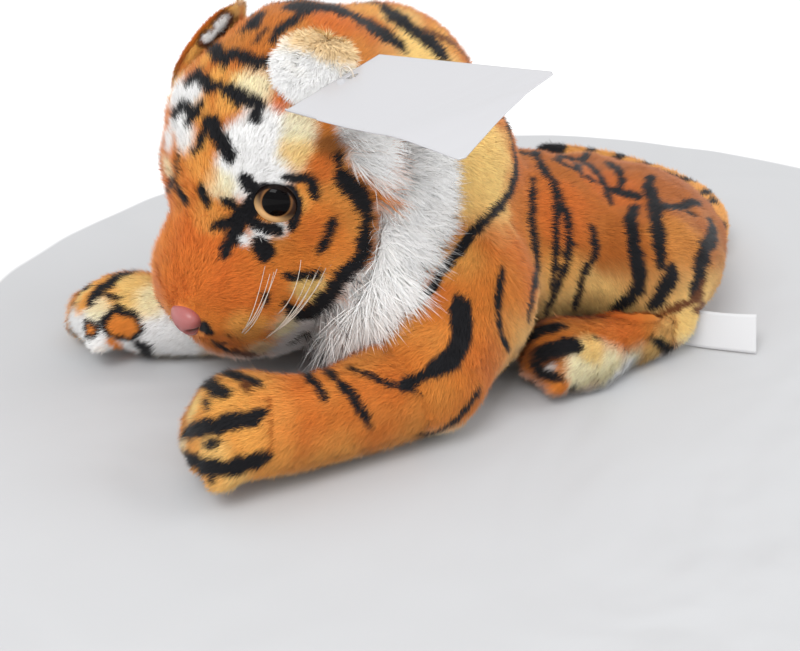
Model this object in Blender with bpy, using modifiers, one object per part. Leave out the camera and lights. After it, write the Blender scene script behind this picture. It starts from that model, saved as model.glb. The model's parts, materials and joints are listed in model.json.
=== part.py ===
# A stuffed tiger lying down: cut plush skins over fibre filling, button eyes and nose, a card tag.
# The tiger looks along -X, its left side is -Y, and the belly rests on Z = 0.
import math

import bmesh
import bpy
from mathutils import Matrix, Vector
from mathutils.bvhtree import BVHTree

for old in list(bpy.data.objects):
    bpy.data.objects.remove(old, do_unlink=True)

# Driving sizes, in metres
body_length = 0.204
body_width = 0.116
body_height = 0.080
neck_radius = 0.046
head_size = 0.126
foreleg_reach = 0.110
foreleg_thickness = 0.046
elbow_radius = 0.027
hindfoot_reach = 0.064
hindfoot_thickness = 0.034
heel_radius = 0.0165
tail_length = 0.165
tail_thickness = 0.024
tail_root_radius = 0.0135

# Cloth and fits
plush_wall = 0.004
gap = 0.0003
filling_gap = 0.0006
swing_gap = 0.0006
floor_press = 0.0008

# How fine the soft forms are: cell of the merge, rounds of softening, faces kept
body_cell = 0.005
limb_cell = 0.0035
soften_rounds = 8
body_faces = 700
body_core_faces = 320
head_faces = 600
head_core_faces = 240
foreleg_faces = 340
foreleg_core_faces = 120
hindfoot_faces = 160
hindfoot_core_faces = 80
tail_faces = 180
tail_core_faces = 100
ear_faces = 130
ruff_faces = 200

# Eyes, nose and their washers
eye_diameter = 0.018
eye_dome = 0.0062
button_rim = 0.0012
stem_diameter = 0.005
stem_length = 0.0105
washer_diameter = 0.012
washer_thickness = 0.0016
washer_seat = 0.0006
nose_width = 0.025
nose_height = 0.017
nose_dome = 0.008

# Ears and the long pile at the cheeks
ear_width = 0.042
ear_height = 0.036
ear_thickness = 0.011
ruff_depth = 0.026

# Whiskers, card tag, its nylon pin and the sewn strip label
whisker_length = 0.045
whisker_thickness = 0.0009
whisker_knot = 0.0045
whisker_points = 4
pin_points = 9
tag_length = 0.084
tag_width = 0.0535
tag_thickness = 0.0006
tag_curl = 0.009
tag_hole = 0.0026
tag_edge = 0.0045
tag_standoff = 0.020
pin_thickness = 0.0011
pin_head = 0.0036
label_length = 0.056
label_height = 0.018
label_thickness = 0.0006
label_curl = 0.005

# Angles
head_turn = math.radians(17)
head_roll = math.radians(6)
nod_range = math.radians(14)
foreleg_left_range = math.radians(18)
foreleg_right_range = math.radians(14)
hindfoot_range = math.radians(12)
tail_range = (math.radians(-14), math.radians(8))
ear_range = math.radians(25)
foreleg_stops = 5
ruff_stops = 7

# Centres and radii of the swellings, as shares of the body's length, width and height
rump_shares = ((0.265, 0.0, 0.45), (0.265, 0.483, 0.525))
waist_shares = ((0.025, 0.0, 0.475), (0.324, 0.431, 0.5625))
chest_shares = ((-0.235, -0.026, 0.55), (0.235, 0.50, 0.60))
haunch_shares = ((0.255, 0.31, 0.45), (0.196, 0.276, 0.475))
shoulder_shares = ((-0.255, 0.414, 0.525), (0.176, 0.31, 0.525))
neck_place_shares = (-0.255, 0.0, 1.075)
elbow_left_shares = (-0.392, -0.707)
elbow_right_shares = (-0.422, 0.33)
heel_shares = (0.25, 0.517)
tail_root_shares = (0.515, 0.035)
label_root_shares = (0.30, -0.44)
belly_panel_shares = ((-0.29, -0.23, 0.0), (0.39, 0.23, 0.0))
cut_reach_share = 4
upper_arm_share = 0.5
upper_arm_width_share = 1.1

# The head's centre ahead of the neck's and above the floor, so that the chin always rests as low;
# then its swellings forward, left and up; all as shares of its size
head_place_shares = (-0.437, 0.024)
head_height_share = 0.79354
skull_shares = ((0.016, 0.0, 0.032), (0.50, 0.484, 0.50))
nape_shares = ((-0.317, 0.02, 0.08), (0.38, 0.38, 0.397))
muzzle_shares = ((0.333, 0.0, -0.365), (0.30, 0.30, 0.30))
chin_shares = ((0.222, 0.0, -0.54), (0.206, 0.214, 0.159))
cheek_shares = ((0.08, 0.254, -0.286), (0.222, 0.206, 0.286))

# Foreleg and hind foot: forward and outward from the joint as shares of the reach, then the long,
# wide and high radius as shares of the thickness
foreleg_left_shares = (
    (0.0, 0.0, 0.53, 0.53, 0.52),
    (0.29, 0.036, 0.54, 0.54, 0.52),
    (0.545, 0.055, 0.54, 0.54, 0.52),
    (0.764, 0.036, 0.50, 0.66, 0.52),
)
foreleg_right_shares = (
    (0.0, 0.0, 0.52, 0.51, 0.50),
    (0.31, -0.127, 0.48, 0.48, 0.48),
    (0.636, -0.20, 0.45, 0.45, 0.45),
    (0.82, -0.127, 0.45, 0.45, 0.44),
    (0.96, -0.02, 0.50, 0.52, 0.46),
)
hindfoot_shares = (
    (0.0, 0.0, 0.43, 0.43, 0.44),
    (0.30, 0.06, 0.52, 0.52, 0.50),
    (0.62, 0.12, 0.54, 0.54, 0.50),
    (0.95, 0.18, 0.50, 0.58, 0.50),
)
foreleg_toes = 4
hindfoot_toes = 3
toe_radius_share = 0.22
toe_forward_share = 0.40
toe_spread_share = 0.46
toe_height_share = 0.62
toe_taper_share = 0.25
wrist_ball = -4
tail_path_shares = ((0.0, 0.0), (0.145, 0.121), (0.194, 0.352), (0.097, 0.642), (-0.085, 0.855))
tail_balls = 26
tail_tip_share = 0.82

# Directions on the head, seen from its centre: turn to the side and lift, in degrees
eye_direction = (40.5, -4.0)
nose_direction = (0.0, -41.0)
nose_facing = (0.0, -28.0)
whisker_direction = (36.0, -36.0)
ear_direction = (62.0, 44.0)
ear_facing = (45.0, 25.0)
tag_direction = (85.0, 39.0)
tag_heading = (-61.0, 1.5)
tag_tilt = 9.0
ruff_directions = ((112.0, 26.0), (110.0, 8.0), (106.0, -10.0), (98.0, -27.0), (86.0, -42.0), (68.0, -54.0))
ruff_swell_shares = (0.62, 0.86, 1.0, 1.0, 0.9, 0.62)
ear_lift_share = 0.22
ear_foot_share = 0.42
ear_proud_share = 0.45
whisker_heading_shares = ((0.08, 0.98), (-0.15, 0.90), (-0.55, 0.85), (-0.80, 0.95))
whisker_out_share = 0.62
whisker_curl_share = 0.18
label_heading = -20.0

# Working collections
parts = bpy.data.collections.new("plush_tiger")
cutters = bpy.data.collections.new("cutters")
for group in (parts, cutters):
    bpy.context.scene.collection.children.link(group)

reach = cut_reach_share * body_length
unit = 1.0
ball_columns = 24
ball_rows = 16
knot_columns = 8
turn_steps = 14
dome_steps = 4
weld = 0.000002
sharp_angle = math.radians(40)
flat_angle = math.radians(0.6)


def scratch(name, mesh):
    # A working object, kept with the cutters until it becomes a part
    thing = bpy.data.objects.new(name, mesh)
    thing.hide_render = True
    thing.display_type = 'WIRE'
    cutters.objects.link(thing)
    return thing


def drop(*things):
    for thing in things:
        bpy.data.objects.remove(thing, do_unlink=True)


def apply_modifiers(thing):
    graph = bpy.context.evaluated_depsgraph_get()
    mesh = bpy.data.meshes.new_from_object(thing.evaluated_get(graph))
    thing.modifiers.clear()
    thing.data = mesh


def copy_of(thing, name):
    return scratch(name, thing.data.copy())


def from_bmesh(name, shape):
    mesh = bpy.data.meshes.new(name)
    shape.to_mesh(mesh)
    shape.free()
    return scratch(name, mesh)


def triangulate(thing):
    shape = bmesh.new()
    shape.from_mesh(thing.data)
    bmesh.ops.triangulate(shape, faces=shape.faces)
    shape.to_mesh(thing.data)
    shape.free()


def keep_main_body(thing, sliver=weld):
    # Removes the crumbs that a cut can leave, and welds its slivers
    shape = bmesh.new()
    shape.from_mesh(thing.data)
    bmesh.ops.remove_doubles(shape, verts=shape.verts, dist=sliver)
    bmesh.ops.dissolve_degenerate(shape, dist=weld, edges=shape.edges)
    bmesh.ops.dissolve_limit(shape, angle_limit=flat_angle, verts=shape.verts, edges=shape.edges)
    islands = []
    seen = set()
    for start in shape.verts:
        if start in seen:
            continue
        seen.add(start)
        island = [start]
        for vert in island:
            for edge in vert.link_edges:
                other = edge.other_vert(vert)
                if other not in seen:
                    seen.add(other)
                    island.append(other)
        islands.append(island)
    islands.sort(key=len, reverse=True)
    for island in islands[1:]:
        bmesh.ops.delete(shape, geom=island, context='VERTS')
    bmesh.ops.triangulate(shape, faces=shape.faces)
    shape.to_mesh(thing.data)
    shape.free()


def combine(thing, tool, operation='DIFFERENCE', solver='EXACT'):
    # Thin walls cut again and again need the manifold solver: the exact one tears them
    step = thing.modifiers.new("combine", 'BOOLEAN')
    step.operation = operation
    step.solver = solver
    step.object = tool
    apply_modifiers(thing)
    triangulate(thing)


def moved(thing, distance, name):
    # A copy grown (or shrunk, when negative) along its normals
    other = copy_of(thing, name)
    shifts = [vert.normal * distance for vert in other.data.vertices]
    for vert, shift in zip(other.data.vertices, shifts):
        vert.co += shift
    return other


def soft_form(name, balls, cell, faces, frame=Matrix()):
    # Swellings merged into one skin, softened, then thinned to the faces asked for
    shape = bmesh.new()
    for centre, radii in balls:
        place = frame @ Matrix.Translation(centre) @ Matrix.Diagonal((*radii, unit))
        bmesh.ops.create_uvsphere(shape, u_segments=ball_columns, v_segments=ball_rows, radius=unit,
                                  matrix=place)
    form = from_bmesh(name, shape)
    merge = form.modifiers.new("merge", 'REMESH')
    merge.mode = 'VOXEL'
    merge.voxel_size = cell
    soften = form.modifiers.new("soften", 'SMOOTH')
    soften.iterations = soften_rounds
    apply_modifiers(form)
    triangulate(form)
    thin = form.modifiers.new("thin", 'DECIMATE')
    thin.ratio = faces / len(form.data.polygons)
    apply_modifiers(form)
    triangulate(form)
    return form


def with_middles(balls):
    # The row of swellings with one more between each two
    row = []
    for (first, radii), (second, other) in zip(balls, balls[1:]):
        row += [(first, radii), ((first + second) / 2, tuple((a + b) / 2 for a, b in zip(radii, other)))]
    return row + [balls[-1]]


def shrunk_balls(balls, wall):
    return [(centre, tuple(max(radius - wall, wall / 2) for radius in radii)) for centre, radii in balls]


def block(name, low, high):
    shape = bmesh.new()
    middle = (Vector(low) + Vector(high)) / 2
    size = Vector(high) - Vector(low)
    bmesh.ops.create_cube(shape, size=unit, matrix=Matrix.Translation(middle) @ Matrix.Diagonal((*size, unit)))
    return from_bmesh(name, shape)


def cut_away(thing, point, normal):
    # Removes what lies beyond a plane
    turn = Vector((0, 0, 1)).rotation_difference(Vector(normal)).to_matrix().to_4x4()
    shape = bmesh.new()
    place = Matrix.Translation(point) @ turn @ Matrix.Translation((0, 0, reach / 2))
    bmesh.ops.create_cube(shape, size=reach, matrix=place)
    tool = from_bmesh("half_space", shape)
    combine(thing, tool)
    drop(tool)


def cut_by_swing(thing, tool, pivot, axis, angles):
    # Cuts a moving piece clear of what it swings past, at each angle
    for angle in angles:
        turned_tool = copy_of(tool, "swing_tool")
        swing = Matrix.Translation(pivot) @ Matrix.Rotation(-angle, 4, axis) @ Matrix.Translation(-pivot)
        turned_tool.data.transform(swing)
        combine(thing, turned_tool, solver='MANIFOLD')
        drop(turned_tool)


def steps_between(low, high, count):
    return [low + (high - low) * index / (count - 1) for index in range(count)]


def turned(name, profile, frame, closed=False):
    # A profile of (radius, height) points turned about Z
    mesh = bpy.data.meshes.new(name)
    count = len(profile)
    edges = [(index, index + 1) for index in range(count - 1)]
    if closed:
        edges.append((count - 1, 0))
    mesh.from_pydata([(radius, 0, height) for radius, height in profile], edges, [])
    thing = scratch(name, mesh)
    screw = thing.modifiers.new("turn", 'SCREW')
    screw.steps = turn_steps
    screw.render_steps = turn_steps
    screw.use_merge_vertices = True
    screw.merge_threshold = weld
    apply_modifiers(thing)
    shape = bmesh.new()
    shape.from_mesh(thing.data)
    bmesh.ops.remove_doubles(shape, verts=shape.verts, dist=weld)
    bmesh.ops.recalc_face_normals(shape, faces=shape.faces)
    shape.to_mesh(thing.data)
    shape.free()
    thing.data.transform(frame)
    return thing


def direction(turn, lift):
    # A unit vector in the head's own frame, from degrees
    turn, lift = math.radians(turn), math.radians(lift)
    return Vector((math.cos(lift) * math.cos(turn), math.cos(lift) * math.sin(turn), math.sin(lift)))


def frame_on(point, outward, upward):
    # Z points outward, Y as near upward as it can
    z = Vector(outward).normalized()
    x = Vector(upward).cross(z).normalized()
    y = z.cross(x)
    frame = Matrix((x, y, z)).transposed().to_4x4()
    return Matrix.Translation(point) @ frame


def body_point(shares):
    return Vector((shares[0] * body_length, shares[1] * body_width, shares[2] * body_height))


def body_ball(shares, side=1):
    x, y, z = shares[0]
    return body_point((x, y * side, z)), tuple(body_point(shares[1]))


def head_ball(shares, side=1):
    x, y, z = shares[0]
    centre = Vector((x, y * side, z)) * head_size
    return centre, tuple(radius * head_size for radius in shares[1])


# Joint centres
neck_centre = body_point(neck_place_shares)
head_centre = neck_centre + Vector(head_place_shares).to_3d() * head_size
head_centre.z = head_height_share * head_size
head_frame = (Matrix.Translation(head_centre) @ Matrix.Rotation(math.pi + head_turn, 4, 'Z')
              @ Matrix.Rotation(head_roll, 4, 'X'))
head_left = (head_frame.to_3x3() @ Vector((0, 1, 0))).normalized()
nod_axis = Vector((-math.sin(head_turn), math.cos(head_turn), 0))
elbow_height = elbow_radius - floor_press
elbows = {
    "left": Vector((elbow_left_shares[0] * body_length, elbow_left_shares[1] * body_width, elbow_height)),
    "right": Vector((elbow_right_shares[0] * body_length, elbow_right_shares[1] * body_width, elbow_height)),
}
sides = {"left": -1, "right": 1}
foreleg_angles = {
    "left": steps_between(0.0, foreleg_left_range, foreleg_stops),
    "right": steps_between(0.0, foreleg_right_range, foreleg_stops),
}
heels = {
    name: Vector((heel_shares[0] * body_length, side * heel_shares[1] * body_width,
                  heel_radius - floor_press))
    for name, side in sides.items()
}
tail_root = Vector((tail_root_shares[0] * body_length, tail_root_shares[1] * body_width,
                    tail_root_radius - floor_press))


# Body: one soft form with round swivel seats, hollowed into skins over its filling
def upper_arm(name):
    shoulder, _ = body_ball(shoulder_shares, sides[name])
    middle = shoulder.lerp(elbows[name], upper_arm_share)
    return middle, (elbow_radius * upper_arm_width_share,) * 3


body_balls = [body_ball(rump_shares), body_ball(waist_shares), body_ball(chest_shares)]
for side_name, side in sides.items():
    body_balls.append(body_ball(haunch_shares, side))
    body_balls.append(body_ball(shoulder_shares, side))
    body_balls.append(upper_arm(side_name))
    body_balls.append((elbows[side_name], (elbow_radius,) * 3))
    body_balls.append((heels[side_name], (heel_radius,) * 3))
body_balls.append((tail_root, (tail_root_radius,) * 3))
body_balls.append((neck_centre, (neck_radius,) * 3))

body_form = soft_form("body_form", body_balls, body_cell, body_faces)
grown_body = moved(body_form, swing_gap, "grown_body")
deep_body = moved(body_form, plush_wall / 2, "deep_body")
body_core = soft_form("body_core", shrunk_balls(body_balls, plush_wall), body_cell, body_core_faces)
cut_away(body_form, (0, 0, 0), (0, 0, -1))
cut_away(body_core, (0, 0, plush_wall), (0, 0, -1))
keep_main_body(body_form)

# Head: the same, in its own turned frame
head_balls = [head_ball(skull_shares), head_ball(nape_shares), head_ball(muzzle_shares),
              head_ball(chin_shares)]
head_balls += [head_ball(cheek_shares, side) for side in sides.values()]
head_form = soft_form("head_form", head_balls, body_cell, head_faces, head_frame)
head_core = soft_form("head_core", shrunk_balls(head_balls, plush_wall), body_cell, head_core_faces,
                      head_frame)
grown_head = moved(head_form, gap, "grown_head")
pressing_head = soft_form("pressing_head", shrunk_balls(head_balls, -plush_wall - gap), body_cell, head_faces,
                          head_frame)
head_tree = BVHTree.FromPolygons([vert.co for vert in head_form.data.vertices],
                                 [tuple(face.vertices) for face in head_form.data.polygons])


def head_surface(angles, side=1):
    # The point of the head's skin seen from its centre in a direction, that direction and the normal
    away = direction(angles[0], angles[1])
    away.y *= side
    away = head_frame.to_3x3() @ away
    hit, normal = head_tree.ray_cast(head_centre + away * head_size, -away)[:2]
    return hit, away, normal


def head_facing(angles, side=1):
    away = direction(angles[0], angles[1])
    away.y *= side
    return head_frame.to_3x3() @ away


head_up = head_frame.to_3x3() @ Vector((0, 0, 1))
nod_angles = steps_between(0.0, nod_range, 3)


# Parts: each piece gets its own material, and its origin on the axis that it turns about
pivots = {}


def pivot(name, centre, parent=None):
    empty = bpy.data.objects.new(name, None)
    empty.empty_display_size = plush_wall
    empty.location = centre if parent is None else Vector(centre) - pivots[parent][1]
    empty.parent = None if parent is None else pivots[parent][0]
    parts.objects.link(empty)
    pivots[name] = (empty, Vector(centre))


def publish(thing, name, colour, roughness, on="body_frame"):
    keep_main_body(thing)
    empty, centre = pivots[on]
    thing.data.transform(Matrix.Translation(-centre))
    thing.name = name
    thing.data.name = name
    thing.hide_render = False
    thing.display_type = 'TEXTURED'
    cutters.objects.unlink(thing)
    parts.objects.link(thing)
    thing.parent = empty
    surface = bpy.data.materials.new(name)
    surface.use_nodes = True
    shader = surface.node_tree.nodes["Principled BSDF"]
    shader.inputs["Base Color"].default_value = (*colour, unit)
    shader.inputs["Roughness"].default_value = roughness
    surface.diffuse_color = (*colour, unit)
    thing.data.materials.clear()
    thing.data.materials.append(surface)
    thing.data.shade_smooth()
    thing.data.set_sharp_from_angle(angle=sharp_angle)


orange = (0.60, 0.22, 0.05)
tan = (0.74, 0.46, 0.14)
cream = (0.86, 0.74, 0.45)
white = (0.85, 0.85, 0.86)
fibre = (0.80, 0.80, 0.78)
glass_amber = (0.25, 0.12, 0.04)
nose_pink = (0.55, 0.22, 0.20)
washer_white = (0.75, 0.75, 0.72)
card_white = (0.88, 0.88, 0.90)
rough_cloth = 0.95
smooth_moulding = 0.25
card_roughness = 0.5

pivot("body_frame", (0, 0, 0))
pivot("neck_pivot", neck_centre, "body_frame")


# The belly panel is let into the underside, and the rest parts along the middle
def body_pieces():
    skin = body_form
    combine(skin, body_core)
    panel_start, panel_end = [body_point(corner) for corner in belly_panel_shares]
    depth = Vector((0, 0, 2 * plush_wall))
    belly = copy_of(skin, "belly")
    window = block("window", panel_start - depth, panel_end + depth)
    combine(belly, window, 'INTERSECT')
    margin = Vector((gap, gap, 0))
    opening = block("opening", panel_start - depth - margin, panel_end + depth + margin)
    combine(skin, opening)
    drop(window, opening)
    publish(belly, "belly_panel", cream, rough_cloth)
    for name, side in sides.items():
        half = copy_of(skin, "half")
        cut_away(half, (0, side * gap / 2, 0), (0, -side, 0))
        publish(half, "body_skin_" + name, orange, rough_cloth)
    filling = moved(body_core, -filling_gap, "filling")
    publish(filling, "body_stuffing", fibre, rough_cloth)
    drop(skin)


# Button fittings: a dome on a stem through the skin, locked by a washer inside
def dome_profile(radius, dome, grow):
    arc = [(math.sin(angle) * (radius + grow), math.cos(angle) * dome + grow)
           for angle in steps_between(0.0, math.pi / 2, dome_steps + 1)]
    return [(0.0, arc[0][1])] + arc[1:] + [(radius + grow, -button_rim - grow)]


def button(name, width, height, dome, frame):
    flat = Matrix.Diagonal((unit, height / width, unit, unit))
    head = turned(name, dome_profile(width / 2, dome, 0.0) + [(0.0, -button_rim)], frame @ flat)
    stem = turned("stem", [(0.0, -button_rim / 2), (stem_diameter / 2, -button_rim / 2),
                           (stem_diameter / 2, -stem_length), (0.0, -stem_length)], frame)
    combine(head, stem, 'UNION')
    drop(stem)
    return head


def washer(frame):
    inner = stem_diameter / 2 + gap
    outer = washer_diameter / 2
    top = -plush_wall - washer_seat
    bottom = top - washer_thickness
    return turned("washer", [(outer, top), (outer, bottom), (inner, bottom), (inner, top)], frame, closed=True)


def cut_for_button(things, width, height, frame):
    # The dome's seat, the stem's hole and the washer's pocket, each larger by the gap
    seat_radius = width / 2 + gap
    flat = Matrix.Diagonal((unit, (height / 2 + gap) / seat_radius, unit, unit))
    seat = turned("seat", [(0.0, plush_wall), (seat_radius, plush_wall), (seat_radius, -button_rim - gap),
                           (0.0, -button_rim - gap)], frame @ flat)
    hole = stem_diameter / 2 + gap
    pocket = washer_diameter / 2 + gap
    top = -plush_wall - washer_seat + gap
    bottom = top - washer_thickness - 2 * gap
    end = -stem_length - gap
    bore = turned("bore", [(0.0, 0.0), (hole, 0.0), (hole, top), (pocket, top), (pocket, bottom),
                           (hole, bottom), (hole, end), (0.0, end)], frame)
    combine(seat, bore, 'UNION')
    for thing in things:
        combine(thing, seat, solver='MANIFOLD')
    drop(seat, bore)


def head_pieces():
    skin = copy_of(head_form, "head_skin")
    combine(skin, head_core)
    filling = moved(head_core, -filling_gap, "head_filling")
    for name, side in (("left", 1), ("right", -1)):
        point, away, _ = head_surface(eye_direction, side)
        frame = frame_on(point, away, head_up)
        cut_for_button((skin, filling), eye_diameter, eye_diameter, frame)
        eye = button("eye", eye_diameter, eye_diameter, eye_dome, frame)
        publish(eye, "eye_" + name, glass_amber, smooth_moulding, "neck_pivot")
        publish(washer(frame), "eye_washer_" + name, washer_white, smooth_moulding, "neck_pivot")
    point = head_surface(nose_direction)[0]
    frame = frame_on(point, head_facing(nose_facing), head_up)
    cut_for_button((skin, filling), nose_width, nose_height, frame)
    nose = button("nose", nose_width, nose_height, nose_dome, frame)
    publish(nose, "nose", nose_pink, smooth_moulding, "neck_pivot")
    publish(washer(frame), "nose_washer", washer_white, smooth_moulding, "neck_pivot")
    cut_by_swing(skin, grown_body, neck_centre, nod_axis, nod_angles)
    cut_by_swing(filling, deep_body, neck_centre, nod_axis, (nod_angles[0], nod_angles[-1]))
    for name, side in (("left", 1), ("right", -1)):
        half = copy_of(skin, "half")
        cut_away(half, head_centre + head_left * side * gap / 2, head_left * -side)
        publish(half, "head_skin_" + name, orange, rough_cloth, "neck_pivot")
    publish(filling, "head_stuffing", fibre, rough_cloth, "neck_pivot")
    drop(skin)


def ruff(name, side):
    # A crescent of long pile from behind the ear to under the jaw
    balls = []
    for angles, swell in zip(ruff_directions, ruff_swell_shares):
        point = head_surface(angles, side)[0]
        balls.append((point, (ruff_depth / 2 * swell,) * 3))
    pile = soft_form("ruff", with_middles(balls), limb_cell, ruff_faces)
    combine(pile, grown_head)
    cut_by_swing(pile, grown_body, neck_centre, nod_axis, nod_angles)
    # The foreleg swings outward past the pile, so here it is the tool that turns
    cut_by_swing(pile, grown_limbs["foreleg_" + name], elbows[name], Vector((0, 0, sides[name])),
                 steps_between(0.0, foreleg_angles[name][-1], ruff_stops))
    publish(pile, "cheek_ruff_" + name, white, rough_cloth, "neck_pivot")


def ear(name, side):
    # A flat rounded flap: a back and a lining, folding forward at its foot
    point = head_surface(ear_direction, side)[0]
    facing = head_facing(ear_facing, side)
    frame = frame_on(point, facing, head_up)
    lift = frame @ Matrix.Translation((0, ear_height * ear_lift_share, ear_thickness * ear_proud_share))
    radii = (ear_width / 2, ear_height / 2, ear_thickness / 2)
    flap = soft_form("ear", [((0, 0, 0), radii)], limb_cell / 2, ear_faces, lift)
    foot = lift @ Vector((0, -ear_height * ear_foot_share, -ear_thickness / 2))
    axis = (frame.to_3x3() @ Vector((1, 0, 0))).normalized()
    pivot("ear_pivot_" + name, foot, "neck_pivot")
    cut_by_swing(flap, grown_head, foot, axis, steps_between(0.0, ear_range, 4))
    for piece, shift, colour, way in (("_lining", gap / 2, cream, -1), ("_back", -gap / 2, tan, 1)):
        half = copy_of(flap, "ear_half")
        cut_away(half, lift @ Vector((0, 0, shift)), facing * way)
        publish(half, "ear_" + name + piece, colour, rough_cloth, "ear_pivot_" + name)
    drop(flap)


def strand(points, thickness):
    # A thin round thread through the points
    curve = bpy.data.curves.new("strand", 'CURVE')
    curve.dimensions = '3D'
    curve.bevel_depth = thickness / 2
    curve.bevel_resolution = 0
    curve.use_fill_caps = True
    spline = curve.splines.new('POLY')
    spline.points.add(len(points) - 1)
    for spot, point in zip(spline.points, points):
        spot.co = (*point, unit)
    wire = bpy.data.objects.new("strand", curve)
    cutters.objects.link(wire)
    graph = bpy.context.evaluated_depsgraph_get()
    thread = scratch("thread", bpy.data.meshes.new_from_object(wire.evaluated_get(graph)))
    drop(wire)
    shape = bmesh.new()
    shape.from_mesh(thread.data)
    bmesh.ops.remove_doubles(shape, verts=shape.verts, dist=weld)
    bmesh.ops.recalc_face_normals(shape, faces=shape.faces)
    shape.to_mesh(thread.data)
    shape.free()
    return thread


def whiskers(name, side):
    # Nylon strands knotted together on the upper lip
    point, _, normal = head_surface(whisker_direction, side)
    frame = frame_on(point + normal * whisker_knot / 2, normal, head_up)
    shape = bmesh.new()
    bmesh.ops.create_uvsphere(shape, u_segments=knot_columns, v_segments=knot_columns,
                              radius=whisker_knot / 2, matrix=frame)
    knot = from_bmesh("knot", shape)
    for ahead, lift in whisker_heading_shares:
        heading = (frame.to_3x3() @ Vector((ahead * -side, lift, whisker_out_share))).normalized()
        points = [frame.translation + heading * whisker_length * share
                  + head_up * whisker_length * whisker_curl_share * share * share
                  for share in steps_between(0.0, 1.0, whisker_points)]
        thread = strand(points, whisker_thickness)
        combine(knot, thread, 'UNION')
        drop(thread)
    combine(knot, grown_head)
    publish(knot, "whiskers_" + name, white, smooth_moulding, "neck_pivot")


# Limbs: soft forms in a row from their joint, hollowed, then cut by the body and by their swivel ball
grown_limbs = {}


def limb_balls(joint, forward, outward, rows, row_reach, thickness, count):
    balls = []
    for along, out, long, wide, high in rows:
        spot = joint + forward * along * row_reach + outward * out * row_reach
        spot.z = high * thickness - floor_press
        balls.append((spot, (long * thickness, wide * thickness, high * thickness)))
    paw, radii = balls[-1]
    toes = []
    for index in range(count):
        share = 2 * index / (count - 1) - 1
        ahead = toe_forward_share * thickness * (1 - toe_taper_share * share * share)
        spot = paw + forward * ahead + outward * toe_spread_share * thickness * share
        spot.z = radii[2] * toe_height_share
        toes.append((spot, (toe_radius_share * thickness,) * 3))
    return with_middles(with_middles(balls)), toes


def limb_pieces(name, balls, toes, faces, core_faces, joint, axis, angles, pressed=None):
    form = soft_form(name, balls + toes, limb_cell, faces)
    core = soft_form(name, shrunk_balls(balls, plush_wall), limb_cell, core_faces)
    cut_away(form, (0, 0, 0), (0, 0, -1))
    cut_away(core, (0, 0, plush_wall), (0, 0, -1))
    if pressed:
        cut_by_swing(form, pressed[0], joint, axis, angles)
        cut_by_swing(core, pressed[1], joint, axis, (angles[0], angles[-1]))
    keep_main_body(form)
    keep_main_body(core, filling_gap)
    grown_limbs[name] = moved(form, gap, "grown_" + name)
    filling = moved(core, -filling_gap, name + "_filling")
    combine(form, core)
    cut_by_swing(form, grown_body, joint, axis, angles)
    cut_by_swing(filling, deep_body, joint, axis, (angles[0], angles[-1]))
    keep_main_body(form)
    keep_main_body(filling)
    drop(core)
    return form, filling


def foreleg(name):
    side = sides[name]
    joint = elbows[name]
    rows = foreleg_left_shares if name == "left" else foreleg_right_shares
    forward = Vector((-1, 0, 0))
    outward = Vector((0, side, 0))
    balls, toes = limb_balls(joint, forward, outward, rows, foreleg_reach, foreleg_thickness,
                             foreleg_toes)
    axis = Vector((0, 0, -side))
    pressed = (grown_head, pressing_head) if name == "right" else None
    skin, filling = limb_pieces("foreleg_" + name, balls, toes, foreleg_faces, foreleg_core_faces,
                                joint, axis, foreleg_angles[name], pressed)
    pivot("elbow_" + name, joint, "body_frame")
    wrist = balls[wrist_ball][0]
    along = balls[-1][0] - wrist
    along.z = 0
    along.normalize()
    paw = copy_of(skin, "paw")
    cut_away(paw, wrist + along * gap / 2, -along)
    cut_away(skin, wrist - along * gap / 2, along)
    on = "elbow_" + name
    publish(skin, "foreleg_" + name + "_skin", orange, rough_cloth, on)
    publish(paw, "paw_" + name + "_skin", tan, rough_cloth, on)
    publish(filling, "foreleg_" + name + "_stuffing", fibre, rough_cloth, on)


def hindfoot(name):
    side = sides[name]
    joint = heels[name]
    forward = Vector((-1, 0, 0))
    outward = Vector((0, side, 0))
    balls, toes = limb_balls(joint, forward, outward, hindfoot_shares, hindfoot_reach,
                             hindfoot_thickness, hindfoot_toes)
    axis = Vector((0, 0, -side))
    skin, filling = limb_pieces("hindfoot_" + name, balls, toes, hindfoot_faces, hindfoot_core_faces,
                                joint, axis, steps_between(0.0, hindfoot_range, 3))
    pivot("heel_" + name, joint, "body_frame")
    publish(skin, "hindfoot_" + name + "_skin", orange, rough_cloth, "heel_" + name)
    publish(filling, "hindfoot_" + name + "_stuffing", fibre, rough_cloth, "heel_" + name)


def smooth_path(points, count):
    # Points along a smooth curve through the given ones
    ends = [2 * points[0] - points[1]] + points + [2 * points[-1] - points[-2]]
    path = []
    for index in range(count):
        place = index * (len(points) - 1) / (count - 1)
        step = min(int(place), len(points) - 2)
        t = place - step
        a, b, c, d = ends[step:step + 4]
        path.append((2 * b + (c - a) * t + (2 * a - 5 * b + 4 * c - d) * t ** 2
                     + (3 * b - a - 3 * c + d) * t ** 3) / 2)
    return path


def tail():
    corners = [tail_root + Vector((x, y, 0)) * tail_length for x, y in tail_path_shares]
    balls = []
    for index, spot in enumerate(smooth_path(corners, tail_balls)):
        share = index / (tail_balls - 1)
        radius = tail_thickness / 2 * (1 - (1 - tail_tip_share) * share)
        spot.z = radius - floor_press
        balls.append((spot, (radius,) * 3))
    skin, filling = limb_pieces("tail", balls, [], tail_faces, tail_core_faces, tail_root,
                                Vector((0, 0, 1)), steps_between(*tail_range, 3))
    pivot("tail_pivot", tail_root, "body_frame")
    publish(skin, "tail_skin", tan, rough_cloth, "tail_pivot")
    publish(filling, "tail_stuffing", fibre, rough_cloth, "tail_pivot")


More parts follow.
